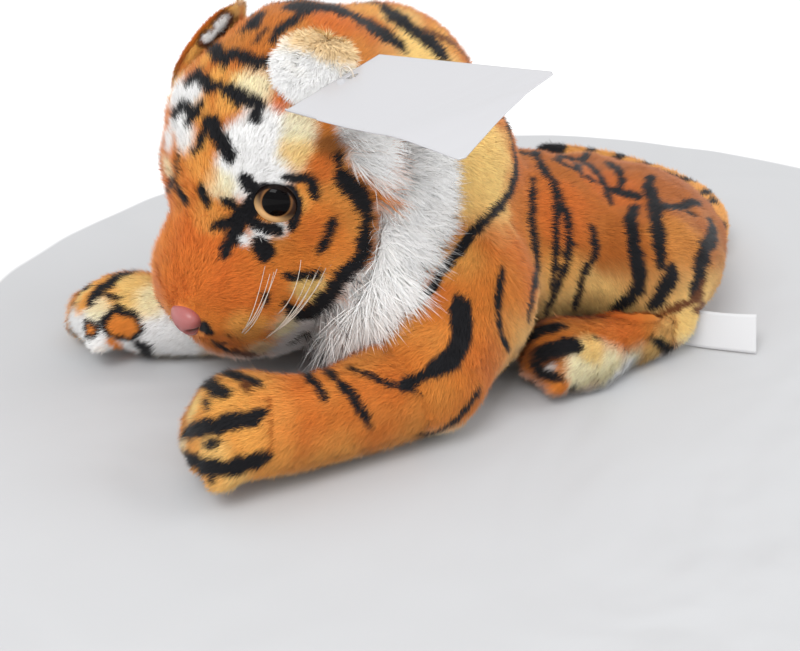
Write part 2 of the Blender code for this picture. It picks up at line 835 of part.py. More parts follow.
def bent_card(name, length, width, thickness, curl, frame):
    # A strip along X from its root edge, curling up towards its free end
    shape = bmesh.new()
    place = Matrix.Translation((length / 2, 0, 0)) @ Matrix.Diagonal((length / 2, width / 2, unit, unit))
    bmesh.ops.create_grid(shape, x_segments=8, y_segments=3, size=unit, matrix=place)
    for vert in shape.verts:
        share = vert.co.x / length
        corner = 0.5 - vert.co.y / width
        vert.co.z = curl * share ** 3 * corner
    card = from_bmesh(name, shape)
    wall = card.modifiers.new("wall", 'SOLIDIFY')
    wall.thickness = thickness
    wall.offset = 0
    apply_modifiers(card)
    triangulate(card)
    card.data.transform(frame)
    return card


def swing_tag():
    point, away, _ = head_surface(tag_direction)
    hook = point + away * tag_standoff
    heading = math.radians(tag_heading[0])
    frame = (Matrix.Translation(hook) @ Matrix.Rotation(heading, 4, 'Z')
             @ Matrix.Rotation(-math.radians(tag_heading[1]), 4, 'Y') @ Matrix.Rotation(math.radians(tag_tilt), 4, 'X'))
    card = bent_card("card", tag_length, tag_width, tag_thickness, tag_curl,
                     frame @ Matrix.Translation((-tag_edge, 0, 0)))
    hole = turned("hole", [(0.0, tag_hole), (tag_hole / 2, tag_hole), (tag_hole / 2, -tag_hole),
                           (0.0, -tag_hole)], frame)
    combine(card, hole)
    drop(hole)
    pivot("tag_pivot", hook, "neck_pivot")
    publish(card, "swing_tag", card_white, card_roughness, "tag_pivot")
    up = frame.to_3x3() @ Vector((0, 0, 1))
    corners = [point, point + away * tag_standoff / 2, hook - up * pin_head, hook, hook + up * pin_head]
    pin = strand(smooth_path(corners, pin_points), pin_thickness)
    stop = Matrix.Translation(corners[-1]) @ frame.to_3x3().to_4x4()
    stopper = turned("stopper", [(0.0, pin_thickness), (pin_head / 2, pin_thickness), (pin_head / 2, 0.0),
                                 (0.0, 0.0)], stop @ Matrix.Translation((0, 0, -pin_thickness / 2)))
    combine(pin, stopper, 'UNION')
    combine(pin, grown_head)
    drop(stopper)
    publish(pin, "tag_loop", washer_white, smooth_moulding, "neck_pivot")


def sewn_label():
    # A blank woven strip standing on its edge beside the haunch
    root = Vector((label_root_shares[0] * body_length, label_root_shares[1] * body_width,
                   label_height / 2 + floor_press))
    frame = (Matrix.Translation(root) @ Matrix.Rotation(math.radians(label_heading), 4, 'Z')
             @ Matrix.Rotation(math.pi / 2, 4, 'X'))
    strip = bent_card("strip", label_length, label_height, label_thickness, label_curl, frame)
    combine(strip, grown_body)
    pivot("label_pivot", root, "body_frame")
    publish(strip, "sewn_label", card_white, rough_cloth, "label_pivot")


body_pieces()
head_pieces()
for name in sides:
    foreleg(name)
    hindfoot(name)
for name, side in (("left", 1), ("right", -1)):
    ruff(name, side)
    ear(name, side)
    whiskers(name, side)
tail()
swing_tag()
sewn_label()
drop(*list(cutters.objects))
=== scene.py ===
import itertools
import json
import math

import bmesh
import bpy
import numpy as np
from mathutils import Matrix, Vector
from mathutils.bvhtree import BVHTree


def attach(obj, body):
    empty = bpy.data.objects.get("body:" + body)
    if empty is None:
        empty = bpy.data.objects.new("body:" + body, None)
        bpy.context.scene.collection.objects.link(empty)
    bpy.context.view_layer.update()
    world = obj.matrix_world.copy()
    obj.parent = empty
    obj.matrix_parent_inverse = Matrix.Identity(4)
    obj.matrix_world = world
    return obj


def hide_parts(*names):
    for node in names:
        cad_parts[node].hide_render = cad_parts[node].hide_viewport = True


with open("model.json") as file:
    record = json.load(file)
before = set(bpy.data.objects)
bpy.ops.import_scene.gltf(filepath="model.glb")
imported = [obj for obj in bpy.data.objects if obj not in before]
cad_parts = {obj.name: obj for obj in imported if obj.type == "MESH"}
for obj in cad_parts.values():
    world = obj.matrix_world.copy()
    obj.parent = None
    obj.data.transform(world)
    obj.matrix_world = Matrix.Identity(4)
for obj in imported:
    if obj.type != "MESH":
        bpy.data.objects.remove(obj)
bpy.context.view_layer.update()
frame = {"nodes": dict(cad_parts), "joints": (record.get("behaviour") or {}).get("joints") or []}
nodes = frame["nodes"]
mm = 0.001

# The photograph's frame and the camera that fits it
shot = {
    "width": 800, "height": 651,
    "azimuth": -21.0, "elevation": 30.0,
    "distance": 0.650, "target": (-0.060, 0.005, 0.0),
    "lens": 58.5, "sensor": 36.0,
}


def placeCamera():
    turn, lift = math.radians(shot["azimuth"]), math.radians(shot["elevation"])
    back = Vector((math.sin(turn) * math.cos(lift), -math.cos(turn) * math.cos(lift), math.sin(lift)))
    data = bpy.data.cameras.new("photoCamera")
    data.lens, data.sensor_width = shot["lens"], shot["sensor"]
    data.clip_start, data.clip_end = 0.01, 20
    camera = bpy.data.objects.new("photoCamera", data)
    bpy.context.scene.collection.objects.link(camera)
    camera.location = Vector(shot["target"]) + back * shot["distance"]
    camera.rotation_euler = (-back).to_track_quat("-Z", "Y").to_euler()
    bpy.context.scene.camera = camera
    bpy.context.view_layer.update()
    return camera


camera = placeCamera()
eyePoint = camera.location.copy()
eyeTurn = camera.rotation_euler.to_matrix()
lensPixels = shot["lens"] / shot["sensor"] * shot["width"]
sight = -eyeTurn.col[2]


def pixelRay(x, y):
    # Direction through a pixel of the photograph
    across = (x - shot["width"] / 2) / lensPixels
    down = (y - shot["height"] / 2) / lensPixels
    return (eyeTurn @ Vector((across, -down, -1))).normalized()


print("camera placed")


# Colours are written as the screen shows them, 0 to 255
def shade(red, green, blue):
    part = np.array((red, green, blue)) / 255
    return np.where(part <= 0.04045, part / 12.92, ((part + 0.055) / 1.055) ** 2.4)


coatColours = {
    "orange": shade(230, 138, 54),
    "deep": shade(218, 108, 40),
    "gold": shade(238, 172, 84),
    "yellow": shade(246, 206, 128),
    "cream": shade(250, 236, 196),
    "white": shade(253, 252, 250),
    "grey": shade(205, 203, 200),
    "black": shade(22, 22, 26),
    "brown": shade(112, 62, 28),
    "tan": shade(228, 178, 98),
    "rust": shade(176, 98, 36),
}


# Smooth pseudo-noise made of a few waves, the same on each run
def ripple(points, size, seed, waves=7):
    rng = np.random.default_rng(seed)
    heading = rng.normal(size=(waves, 3))
    heading /= np.linalg.norm(heading, axis=1)[:, None]
    pitch = 2 * math.pi / size * rng.uniform(0.6, 1.5, waves)
    phase = rng.uniform(0, 2 * math.pi, waves)
    return np.sin(points @ (heading * pitch[:, None]).T + phase).sum(1) / math.sqrt(waves / 2) / 2


def unitRows(rows):
    return rows / np.maximum(np.linalg.norm(rows, axis=1), 1e-12)[:, None]


def smoothStep(low, high, value):
    t = np.clip((value - low) / (high - low), 0, 1)
    return t * t * (3 - 2 * t)


# Small helpers for objects and meshes
def addObject(name, data):
    thing = bpy.data.objects.new(name, data)
    bpy.context.scene.collection.objects.link(thing)
    return thing


def newPiece(name, shape):
    mesh = bpy.data.meshes.new(name)
    shape.to_mesh(mesh)
    shape.free()
    return addObject(name, mesh)


def newStrands(name, radius, roundness):
    # A piece of round strands; its splines are added by the caller
    data = bpy.data.curves.new(name, "CURVE")
    data.dimensions = "3D"
    data.bevel_depth = radius
    data.bevel_resolution = roundness
    data.use_fill_caps = True
    return addObject(name, data)


def applyModifiers(piece):
    graph = bpy.context.evaluated_depsgraph_get()
    mesh = bpy.data.meshes.new_from_object(piece.evaluated_get(graph))
    piece.modifiers.clear()
    piece.data = mesh


def thicken(piece, thickness):
    # Gives a flat sheet its thickness, half to each side
    thick = piece.modifiers.new("thick", "SOLIDIFY")
    thick.thickness = thickness
    thick.offset = 0
    applyModifiers(piece)
    for face in piece.data.polygons:
        face.use_smooth = True


def nodePoints(name):
    return np.array([vert.co for vert in nodes[name].data.vertices])


def keepOuterSkin(piece):
    # The merge leaves the pockets inside as islands of their own
    shape = bmesh.new()
    shape.from_mesh(piece.data)
    seen, islands = set(), []
    for start in shape.verts:
        if start in seen:
            continue
        seen.add(start)
        island = [start]
        for vert in island:
            for edge in vert.link_edges:
                other = edge.other_vert(vert)
                if other not in seen:
                    seen.add(other)
                    island.append(other)
        islands.append(island)
    islands.sort(key=len)
    for island in islands[:-1]:
        bmesh.ops.delete(shape, geom=island, context="VERTS")
    bmesh.ops.triangulate(shape, faces=shape.faces)
    shape.to_mesh(piece.data)
    shape.free()


def softSkin(name, members, swells, cell, rounds, shrink):
    # The sewn pieces of one body merged into one smooth skin, a little under the pile's tips
    shape = bmesh.new()
    for member in members:
        shape.from_mesh(nodes[member].data)
    bmesh.ops.remove_doubles(shape, verts=shape.verts, dist=1e-6)
    for centre, radii, turn in swells:
        place = Matrix.Translation(centre) @ turn.to_4x4() @ Matrix.Diagonal((*radii, 1))
        bmesh.ops.create_uvsphere(shape, u_segments=24, v_segments=16, radius=1, matrix=place)
    piece = newPiece(name, shape)
    merge = piece.modifiers.new("merge", "REMESH")
    merge.mode = "VOXEL"
    merge.voxel_size = cell
    soften = piece.modifiers.new("soften", "SMOOTH")
    soften.factor = 0.5
    soften.iterations = rounds
    applyModifiers(piece)
    keepOuterSkin(piece)
    normals = [vert.normal.copy() for vert in piece.data.vertices]
    for vert, normal in zip(piece.data.vertices, normals):
        vert.co -= normal * shrink
    piece.data.update()
    return piece


class Skin:
    # A smooth skin with its points, triangles, normals and search tree
    def __init__(self, piece):
        mesh = piece.data
        self.piece = piece
        self.points = np.zeros(len(mesh.vertices) * 3)
        mesh.vertices.foreach_get("co", self.points)
        self.points = self.points.reshape(-1, 3)
        self.normals = np.zeros(len(mesh.vertices) * 3)
        mesh.vertices.foreach_get("normal", self.normals)
        self.normals = self.normals.reshape(-1, 3)
        self.corners = np.zeros(len(mesh.polygons) * 3, dtype=np.int64)
        mesh.polygons.foreach_get("vertices", self.corners)
        self.corners = self.corners.reshape(-1, 3)
        self.index()

    def index(self):
        self.points[:, 2] = np.maximum(self.points[:, 2], 0.3 * mm)
        self.tree = BVHTree.FromPolygons(self.points.tolist(), self.corners.tolist())
        self.middle = Vector(self.points.mean(0))

    def press(self, depths):
        # Sinks the skin along its normals
        self.points = self.points - self.normals * depths[:, None]
        self.index()

    def pressAt(self, x, y, depth, reach):
        # Sinks the skin around a pixel of the photograph; depth and reach in millimetres
        gap = np.linalg.norm(self.points - np.array(self.at(x, y)[0]), axis=1) / mm
        self.press(depth * mm * smoothStep(reach, reach * 0.12, gap))

    def shift(self, offsets):
        self.points = self.points + offsets
        self.index()

    def reshape(self, turn, offset):
        # Turns and stretches the skin about its middle, then moves it
        middle = self.points.mean(0)
        self.points = (self.points - middle) @ np.array(turn).T + middle + offset
        self.normals = unitRows(self.normals @ np.linalg.inv(np.array(turn)))
        self.index()

    def at(self, x, y):
        # Where the photograph's pixel falls on this skin, or the nearest place to its ray
        ray = pixelRay(x, y)
        hit, normal = self.tree.ray_cast(eyePoint, ray)[:2]
        if hit is None:
            along = (self.middle - eyePoint).dot(ray)
            hit, normal = self.tree.find_nearest(eyePoint + ray * along)[:2]
        return hit, normal

    def near(self, point):
        return self.tree.find_nearest(Vector(point))[:2]


# Strokes: dark bands drawn through named pixels, laid on a skin
def roundedLine(points, rounds=2):
    line = [np.array(p, float) for p in points]
    for _ in range(rounds):
        if len(line) < 3:
            break
        cut = [line[0]]
        for a, b in zip(line, line[1:]):
            cut += [a * 0.75 + b * 0.25, a * 0.25 + b * 0.75]
        line = cut + [line[-1]]
    return line


def spacedLine(points, step):
    line = roundedLine(points)
    spaced = [line[0]]
    for a, b in zip(line, line[1:]):
        count = max(1, int(np.linalg.norm(b - a) / step))
        spaced += [a + (b - a) * (i + 1) / count for i in range(count)]
    return spaced


strokeBoldness = 1.25  # pile laid over a stroke's edge makes it look thinner


def hiddenFromPhoto(skin, place):
    run = place - eyePoint
    hit = skin.tree.ray_cast(eyePoint, run.normalized())[0]
    return hit is not None and (hit - eyePoint).length < run.length - 4 * mm


def layStroke(skin, width, points, reflect=None, ends=0.45):
    # Places and half widths along a stroke; width is in pixels of the photograph.
    # A reflected stroke is kept only where the photograph doesn't show its side.
    runs, places, halves = [], [], []
    line = spacedLine(points, 4.0)
    for index, (x, y) in enumerate(line):
        hit, normal = skin.at(x, y)
        scale = lensPixels / (hit - eyePoint).length
        before, after = line[max(index - 1, 0)], line[min(index + 1, len(line) - 1)]
        run = after - before
        aside = eyeTurn @ Vector((run[1], run[0], 0)).normalized() if np.linalg.norm(run) > 0 else normal
        aside = (aside - normal * aside.dot(normal))
        seen = max(0.5, 1 - 0.5 * (1 - aside.length))
        share = index / max(len(line) - 1, 1)
        taper = min(1.0, ends + (1 - ends) * min(share, 1 - share) * 4.5)
        place = hit if reflect is None else skin.near(reflect(hit))[0]
        if reflect is not None and not hiddenFromPhoto(skin, place):
            runs.append((places, halves))
            places, halves = [], []
            continue
        places.append(tuple(place))
        halves.append(width * strokeBoldness / 2 / scale / seen * taper)
    runs.append((places, halves))
    return [(np.array(places), np.array(halves)) for places, halves in runs if len(places) > 1]


def inkOn(points, strokes, soft=0.0009):
    # How dark each point is, 0 to 1
    ink = np.zeros(len(points))
    wobble = ripple(points, 0.007, 11) * 0.0006 + ripple(points, 0.0025, 12) * 0.0003
    for line, halves in strokes:
        reach = halves.max() + 0.003
        near = np.where(((points > line.min(0) - reach) & (points < line.max(0) + reach)).all(1))[0]
        if not len(near):
            continue
        spots = points[near]
        depth = np.full(len(near), -1.0)
        for a, b, wideA, wideB in zip(line, line[1:], halves, halves[1:]):
            run = b - a
            t = np.clip((spots - a) @ run / max(run @ run, 1e-12), 0, 1)
            gap = np.linalg.norm(spots - a - t[:, None] * run, axis=1)
            depth = np.maximum(depth, wideA + (wideB - wideA) * t - gap)
        depth += wobble[near]
        ink[near] = np.maximum(ink[near], smoothStep(-soft, soft, depth))
    return ink


def mixIn(colours, name, share):
    # Blends a named coat colour in; share is one number or one for each point
    return colours + (coatColours[name] - colours) * np.broadcast_to(share, len(colours))[:, None]


def dappledCoat(points, dapple):
    # Orange with paler and deeper patches
    size, seed, goldFrom, gold, deepFrom, deep = dapple
    colours = np.tile(coatColours["orange"], (len(points), 1))
    patchy = ripple(points, size, seed)
    colours = mixIn(colours, "gold", smoothStep(goldFrom, 0.9, patchy) * gold)
    return mixIn(colours, "deep", smoothStep(deepFrom, 1.0, -patchy) * deep)


def zoneShare(points, centre, radius, soft, seed=21):
    gap = np.linalg.norm(points - np.array(centre), axis=1)
    gap = gap + ripple(points, 0.012, seed) * soft * 0.35
    return smoothStep(radius + soft, radius - soft, gap)


# Pile: short fibres set all over a skin, laid along a flow. Density is in fibres per square millimetre;
# sway, stray and tone are spreads; carry is how far along its lie a fibre's colour is read.
# The root and skin tones darken the roots and the skin under the pile as painted shade; the tip tone lightens
# the tips as painted light
shortPile = {
    "density": 4.8, "length": 4.6 * mm, "width": 0.42 * mm, "levels": 1, "lean": 0.68, "clump": 7 * mm,
    "sway": 0.14, "stray": 0.15, "curl": 0.12, "tone": 0.08, "rootShade": 0.80, "tipLight": 1.12,
    "skinTone": 0.90, "carry": 0.6,
}


def pileDensity(look):
    return look["density"] * 1


def pileRoots(skin, density, seed):
    rng = np.random.default_rng(seed)
    a, b, c = (skin.points[skin.corners[:, i]] for i in range(3))
    areas = np.linalg.norm(np.cross(b - a, c - a), axis=1) / 2
    ladder = np.cumsum(areas)
    count = int(ladder[-1] * 1e6 * density)
    picks = np.searchsorted(ladder, (np.arange(count) + rng.random(count)) / count * ladder[-1])
    picks = np.minimum(picks, len(ladder) - 1)
    u, v = rng.random(count), rng.random(count)
    flip = u + v > 1
    u[flip], v[flip] = 1 - u[flip], 1 - v[flip]
    w = 1 - u - v
    corners = skin.corners[picks]
    roots = sum(skin.points[corners[:, i]] * part[:, None] for i, part in enumerate((w, u, v)))
    normals = sum(skin.normals[corners[:, i]] * part[:, None] for i, part in enumerate((w, u, v)))
    return roots, unitRows(normals)


def bladeShape(levels):
    # One tapered blade, flat: x is across it from -1 to 1, y along it from 0 to 1
    shape = bmesh.new()
    bmesh.ops.create_grid(shape, x_segments=1, y_segments=levels, size=1)
    tips = [vert for vert in shape.verts if vert.co.y > 0.99]
    bmesh.ops.pointmerge(shape, verts=tips, merge_co=(0, 1, 0))
    bmesh.ops.triangulate(shape, faces=shape.faces)
    shape.verts.index_update()
    places = np.array([(vert.co.x, (vert.co.y + 1) / 2) for vert in shape.verts])
    faces = np.array([[vert.index for vert in face.verts] for face in shape.faces])
    shape.free()
    return places, faces


def fibreArrays(roots, normals, flows, colours, look, seed):
    # One blade for each root, leaned along the flow, clumped and bent
    rng = np.random.default_rng(seed)
    count = len(roots)
    lengths = look["length"] * np.ones(count) * rng.uniform(0.7, 1.15, count)
    tangent = unitRows(flows - normals * (flows * normals).sum(1)[:, None])
    sway = np.stack([ripple(roots, look["clump"], seed + i) for i in range(3)], 1) * look["sway"]
    aims = normals * (1 - look["lean"]) + tangent * look["lean"] + sway
    aims += rng.normal(size=(count, 3)) * look["stray"]
    aims += normals * np.maximum(0.18 - (aims * normals).sum(1), 0)[:, None]
    aims = unitRows(aims)
    droop = unitRows(unitRows(flows) * 0.8 + sway + rng.normal(size=(count, 3)) * look["stray"])
    sides = unitRows(np.cross(aims, normals) + rng.normal(size=(count, 3)) * 0.12)
    widths = look["width"] * rng.uniform(0.75, 1.25, count)
    tone = (1 + rng.normal(size=count) * look["tone"])[:, None]
    places, faces = bladeShape(look["levels"])
    rows, shades = [], []
    for across, along in places:
        middle = roots + (aims * along + droop * look["curl"] * along * along) * lengths[:, None]
        rows.append(middle + sides * (widths * across * (1 - 0.5 * along) / 2)[:, None])
        # painted shade darkens each blade at its root, and painted light brightens it at its tip
        depth = look["rootShade"] + (look["tipLight"] - look["rootShade"]) * along
        shades.append(np.clip(colours * tone * depth, 0, 1))
    faces = (np.arange(count) * len(places))[:, None, None] + faces[None]
    bent = unitRows(normals + aims * 0.25 + rng.normal(size=(count, 3)) * 0.10)
    bends = np.repeat(bent[:, None], len(places), 1)
    points, shades = np.stack(rows, 1), np.stack(shades, 1)
    points[:, :, 2] = np.maximum(points[:, :, 2], look["width"])  # the lowest pile is pressed flat
    return points.reshape(-1, 3), faces.reshape(-1, 3), shades.reshape(-1, 3), bends.reshape(-1, 3)


def meshOf(name, parts):
    # One mesh from several sets of points, triangles, colours and normals
    points = np.concatenate([p[0] for p in parts])
    starts = np.cumsum([0] + [len(p[0]) for p in parts[:-1]])
    faces = np.concatenate([p[1] + start for p, start in zip(parts, starts)])
    colours = np.concatenate([p[2] for p in parts])
    normals = np.concatenate([p[3] for p in parts])
    mesh = bpy.data.meshes.new(name)
    mesh.vertices.add(len(points))
    mesh.vertices.foreach_set("co", points.astype(np.float32).ravel())
    mesh.loops.add(len(faces) * 3)
    mesh.loops.foreach_set("vertex_index", faces.astype(np.int32).ravel())
    mesh.polygons.add(len(faces))
    mesh.polygons.foreach_set("loop_start", np.arange(0, len(faces) * 3, 3, dtype=np.int32))
    mesh.polygons.foreach_set("use_smooth", np.ones(len(faces), dtype=bool))
    mesh.update(calc_edges=True)
    tint = mesh.attributes.new("coat", "FLOAT_COLOR", "POINT")
    tint.data.foreach_set("color", np.concatenate([colours, np.ones((len(colours), 1))], 1).ravel())
    mesh.normals_split_custom_set_from_vertices(unitRows(normals).astype(np.float32))
    return mesh


def layPaint(skin, strokes, spots, reflect=None):
    # Strokes and soft spots as places on the skin, once and once more on the hidden side
    laid, zones = [], []
    for colour, width, points in strokes:
        laid += [(colour, run) for run in layStroke(skin, width, points)]
        if reflect is not None:
            laid += [(colour, run) for run in layStroke(skin, width, points, reflect)]
    for x, y, radius, colour, share in spots:
        spot = skin.at(x, y)[0]
        zones.append((tuple(spot), radius * mm, colour, share))
        if reflect is not None:
            other = skin.near(reflect(spot))[0]
            if hiddenFromPhoto(skin, other):
                zones.append((tuple(other), radius * mm, colour, share))
    return laid, zones


def backArc(skin, span, halfWidth, placeOf):
    # A black band across the back; placeOf gives a place by it for each distance aside
    asides = np.linspace(-span, span, 9)
    line = np.array([tuple(skin.near(placeOf(aside))[0]) for aside in asides])
    return "black", (line, halfWidth * mm * (1 - 0.5 * np.abs(asides / span)))


def paintOver(points, colours, laid, zones):
    for spot, radius, colour, share in zones:
        colours = mixIn(colours, colour, zoneShare(points, spot, radius, radius * 0.45) * share)
    for colour, group in itertools.groupby(laid, key=lambda entry: entry[0]):
        colours = mixIn(colours, colour, inkOn(points, [stroke for _, stroke in group]))
    return colours


def carried(roots, normals, flows, look):
    # A fibre shows its colour some way along its lie, so its colour is read there
    tangent = unitRows(flows - normals * (flows * normals).sum(1)[:, None])
    reach = np.broadcast_to(np.asarray(look["length"] * look["carry"]), len(roots))
    return roots + tangent * reach[:, None]


def furPiece(name, skin, coatOf, flowOf, look, trim=None, seed=1, extra=()):
    # The finished plush: the skin in the coat darkened as painted shade under the pile, with its pile
    roots, normals = pileRoots(skin, pileDensity(look), seed)
    scale = np.ones(len(roots)) if trim is None else trim(roots)
    kept = scale > 0.05
    roots, normals, scale = roots[kept], normals[kept], scale[kept]
    settings = dict(look)
    settings["length"] = look["length"] * scale
    flows = flowOf(roots, normals)
    colours = coatOf(carried(roots, normals, flows, settings), normals)
    # painted shade: the skin between the fibres is darker than the pile
    under = coatOf(skin.points, skin.normals) * look["skinTone"]
    parts = [(skin.points, skin.corners, under, skin.normals)]
    parts.append(fibreArrays(roots, normals, flows, colours, settings, seed + 50))
    mesh = meshOf(name, parts + list(extra))
    piece = skin.piece
    piece.name = name
    piece.data = mesh
    mesh.name = name
    print(name, len(mesh.polygons), "triangles")
    return piece


def longTuft(skin, look, pick, coatOf, flowOf, seed):
    # Longer fibres on the part of a skin that pick chooses, with a length share for each
    roots, normals = pileRoots(skin, pileDensity(look), seed)
    scale = pick(roots)
    kept = scale > 0.15
    roots, normals = roots[kept], normals[kept]
    settings = dict(look)
    settings["length"] = look["length"] * scale[kept]
    flows = flowOf(roots, normals)
    colours = coatOf(carried(roots, normals, flows, settings), normals)
    return fibreArrays(roots, normals, flows, colours, settings, seed + 50)


# Materials
def newMaterial(name, sockets):
    # A Principled material with its constant sockets set
    material = bpy.data.materials.new(name)
    material.use_nodes = True
    shader = material.node_tree.nodes["Principled BSDF"]
    for socket, value in sockets.items():
        shader.inputs[socket].default_value = value
    return material, material.node_tree, shader


def addNode(tree, kind, values=None):
    # A node of this kind with its input values set, by name or number
    node = tree.nodes.new("ShaderNode" + kind)
    for socket, value in (values or {}).items():
        node.inputs[socket].default_value = value
    return node


def wire(tree, *links):
    for source, output, target, socket in links:
        tree.links.new(source.outputs[output], target.inputs[socket])


def coatNode(tree):
    # Reads the colour kept on the mesh
    coat = addNode(tree, "Attribute")
    coat.attribute_name = "coat"
    return coat


def paintedMaterial(name, sockets):
    material, tree, shader = newMaterial(name, sockets)
    wire(tree, (coatNode(tree), "Color", shader, "Base Color"))
    return material


def plushMaterial():
    # Dyed fibres: the coat's colour, mottled a little, dull with a soft sheen
    material, tree, shader = newMaterial("plushPile", {
        "Roughness": 0.78, "Specular IOR Level": 0.22, "Sheen Weight": 0.12, "Sheen Roughness": 0.5})
    coat, place = coatNode(tree), addNode(tree, "TexCoord")
    mottle = addNode(tree, "TexNoise", {"Scale": 260, "Detail": 3})
    tone = addNode(tree, "MapRange", {"To Min": 0.84, "To Max": 1.14})
    dyed = addNode(tree, "Mix", {"Factor": 1})
    dyed.data_type = "RGBA"
    dyed.blend_type = "MULTIPLY"
    wire(tree, (place, "Object", mottle, "Vector"), (mottle, "Fac", tone, "Value"), (coat, "Color", dyed, "A"),
         (tone, "Result", dyed, "B"), (dyed, "Result", shader, "Base Color"))
    return material


plush = plushMaterial()


def finishPiece(piece, material, body, slotName, *replaced):
    piece.data.materials.clear()
    piece.data.materials.append(material)
    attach(piece, body)
    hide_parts(*replaced)


def finishPlush(piece, body, slotName, replaced):
    finishPiece(piece, plush, body, slotName, *replaced)


# The head's own axes: ahead to the nose, aside to the tiger's left, up to the crown
headPlace = {"centre": (-107.06, 3.02, 99.99), "turn": 17.0, "roll": 6.0}
headCentre = Vector(headPlace["centre"]) * mm
headTurn = (Matrix.Rotation(math.radians(180 + headPlace["turn"]), 3, "Z")
            @ Matrix.Rotation(math.radians(headPlace["roll"]), 3, "X"))
headAside = headTurn @ Vector((0, 1, 0))


def onHead(ahead, aside, up):
    return headCentre + headTurn @ Vector((ahead, aside, up)) * mm


def acrossHead(point):
    # The mirror image on the head's other side
    return Vector(point) - 2 * headAside * (Vector(point) - headCentre).dot(headAside)


def acrossBody(point):
    return Vector((point[0], -point[1], point[2]))


def towardHead(points):
    # Places in the head's own axes, in millimetres
    return (points - np.array(headCentre)) @ np.array(headTurn) / mm


# Body
bodyLook = {
    **shortPile, "lean": 0.72, "clump": 9 * mm, "sway": 0.13, "stray": 0.13, "curl": 0.10,
    "rumpDrop": 10, "rumpStart": 5, "rumpEnd": 50, "dropFoot": 26, "dropTop": 62, "rumpBack": 4,
    "dapple": (0.035, 3, -0.2, 0.5, 0.1, 0.5), "rust": (0.25, 0.70), "arcWidth": 2.6,
}
bodyStripes = [
    ("black", 9, [(501, 112), (506, 132), (511, 154), (513, 171), (509, 189), (497, 207), (483, 225),
                  (465, 243), (451, 262), (438, 280), (426, 296), (411, 309)]),
    ("black", 7, [(521, 132), (531, 146), (538, 161), (544, 178)]),
    ("black", 8, [(533, 180), (532, 200), (531, 221), (533, 239), (535, 257), (533, 275), (529, 293),
                  (526, 320)]),
    ("black", 7, [(540, 164), (548, 175), (555, 188), (557, 207), (556, 226), (555, 247), (554, 264),
                  (550, 296)]),
    ("black", 7, [(557, 190), (566, 213), (569, 232), (569, 247), (566, 261), (559, 281), (550, 299),
                  (543, 318)]),
    ("black", 4, [(567, 240), (575, 246)]),
    ("black", 19, [(459, 300), (461, 322), (460, 345), (452, 360), (431, 372)]),
    ("black", 9, [(436, 370), (422, 377), (406, 380), (394, 390)]),
    ("black", 7, [(502, 268), (501, 280), (497, 294), (497, 311), (496, 328), (502, 339), (506, 350)]),
    ("black", 7, [(590, 226), (593, 240), (596, 254), (586, 266), (581, 281), (573, 309)]),
    ("black", 7, [(606, 164), (617, 171), (622, 180), (621, 191)]),
    ("black", 7, [(556, 154), (567, 161), (581, 163), (588, 156), (585, 149), (574, 145), (562, 150)]),
    ("black", 7, [(581, 163), (592, 171), (600, 183), (605, 196), (610, 208)]),
    ("black", 5, [(567, 161), (574, 168), (581, 181)]),
    ("black", 9, [(612, 147), (618, 154)]),
    ("black", 10, [(622, 157), (633, 163), (644, 167)]),
    ("black", 12, [(636, 208), (631, 216), (632, 233), (635, 250), (638, 268), (640, 285), (633, 295),
                   (622, 304), (609, 316)]),
    ("black", 12, [(650, 178), (648, 190), (654, 202), (655, 216), (659, 233), (660, 250), (660, 268)]),
    ("black", 8, [(658, 213), (667, 208), (681, 210), (691, 204), (698, 204)]),
    ("black", 4, [(683, 212), (695, 217)]),
    ("black", 13, [(672, 266), (672, 278), (664, 288), (657, 302), (650, 305)]),
    ("black", 13, [(710, 222), (712, 237), (705, 249), (700, 266), (698, 280), (690, 296)]),
    ("black", 8, [(726, 232), (725, 247), (722, 263)]),
    ("brown", 5, [(717, 285), (705, 301), (690, 312)]),
    ("brown", 7, [(700, 292), (686, 303), (661, 315)]),
    ("brown", 5, [(642, 316), (658, 318), (674, 322)]),
    ("black", 6, [(600, 143), (594, 150)]),
    ("black", 6, [(416, 433), (444, 427), (469, 404), (478, 388)]),
]
bodySpots = [
    (478, 190, 22, "yellow", 0.9), (480, 150, 20, "yellow", 0.9), (450, 250, 13, "gold", 0.6),
    (575, 290, 14, "yellow", 0.6), (560, 270, 10, "gold", 0.5), (600, 300, 10, "yellow", 0.6),
    (560, 210, 16, "deep", 0.5), (610, 190, 18, "deep", 0.4), (680, 240, 14, "gold", 0.3),
    (500, 240, 14, "deep", 0.3),
]
# Arcs over the rump's back, which the photograph doesn't show: height and half span in millimetres
rumpArcs = [(64, 12), (48, 30), (31, 26)]


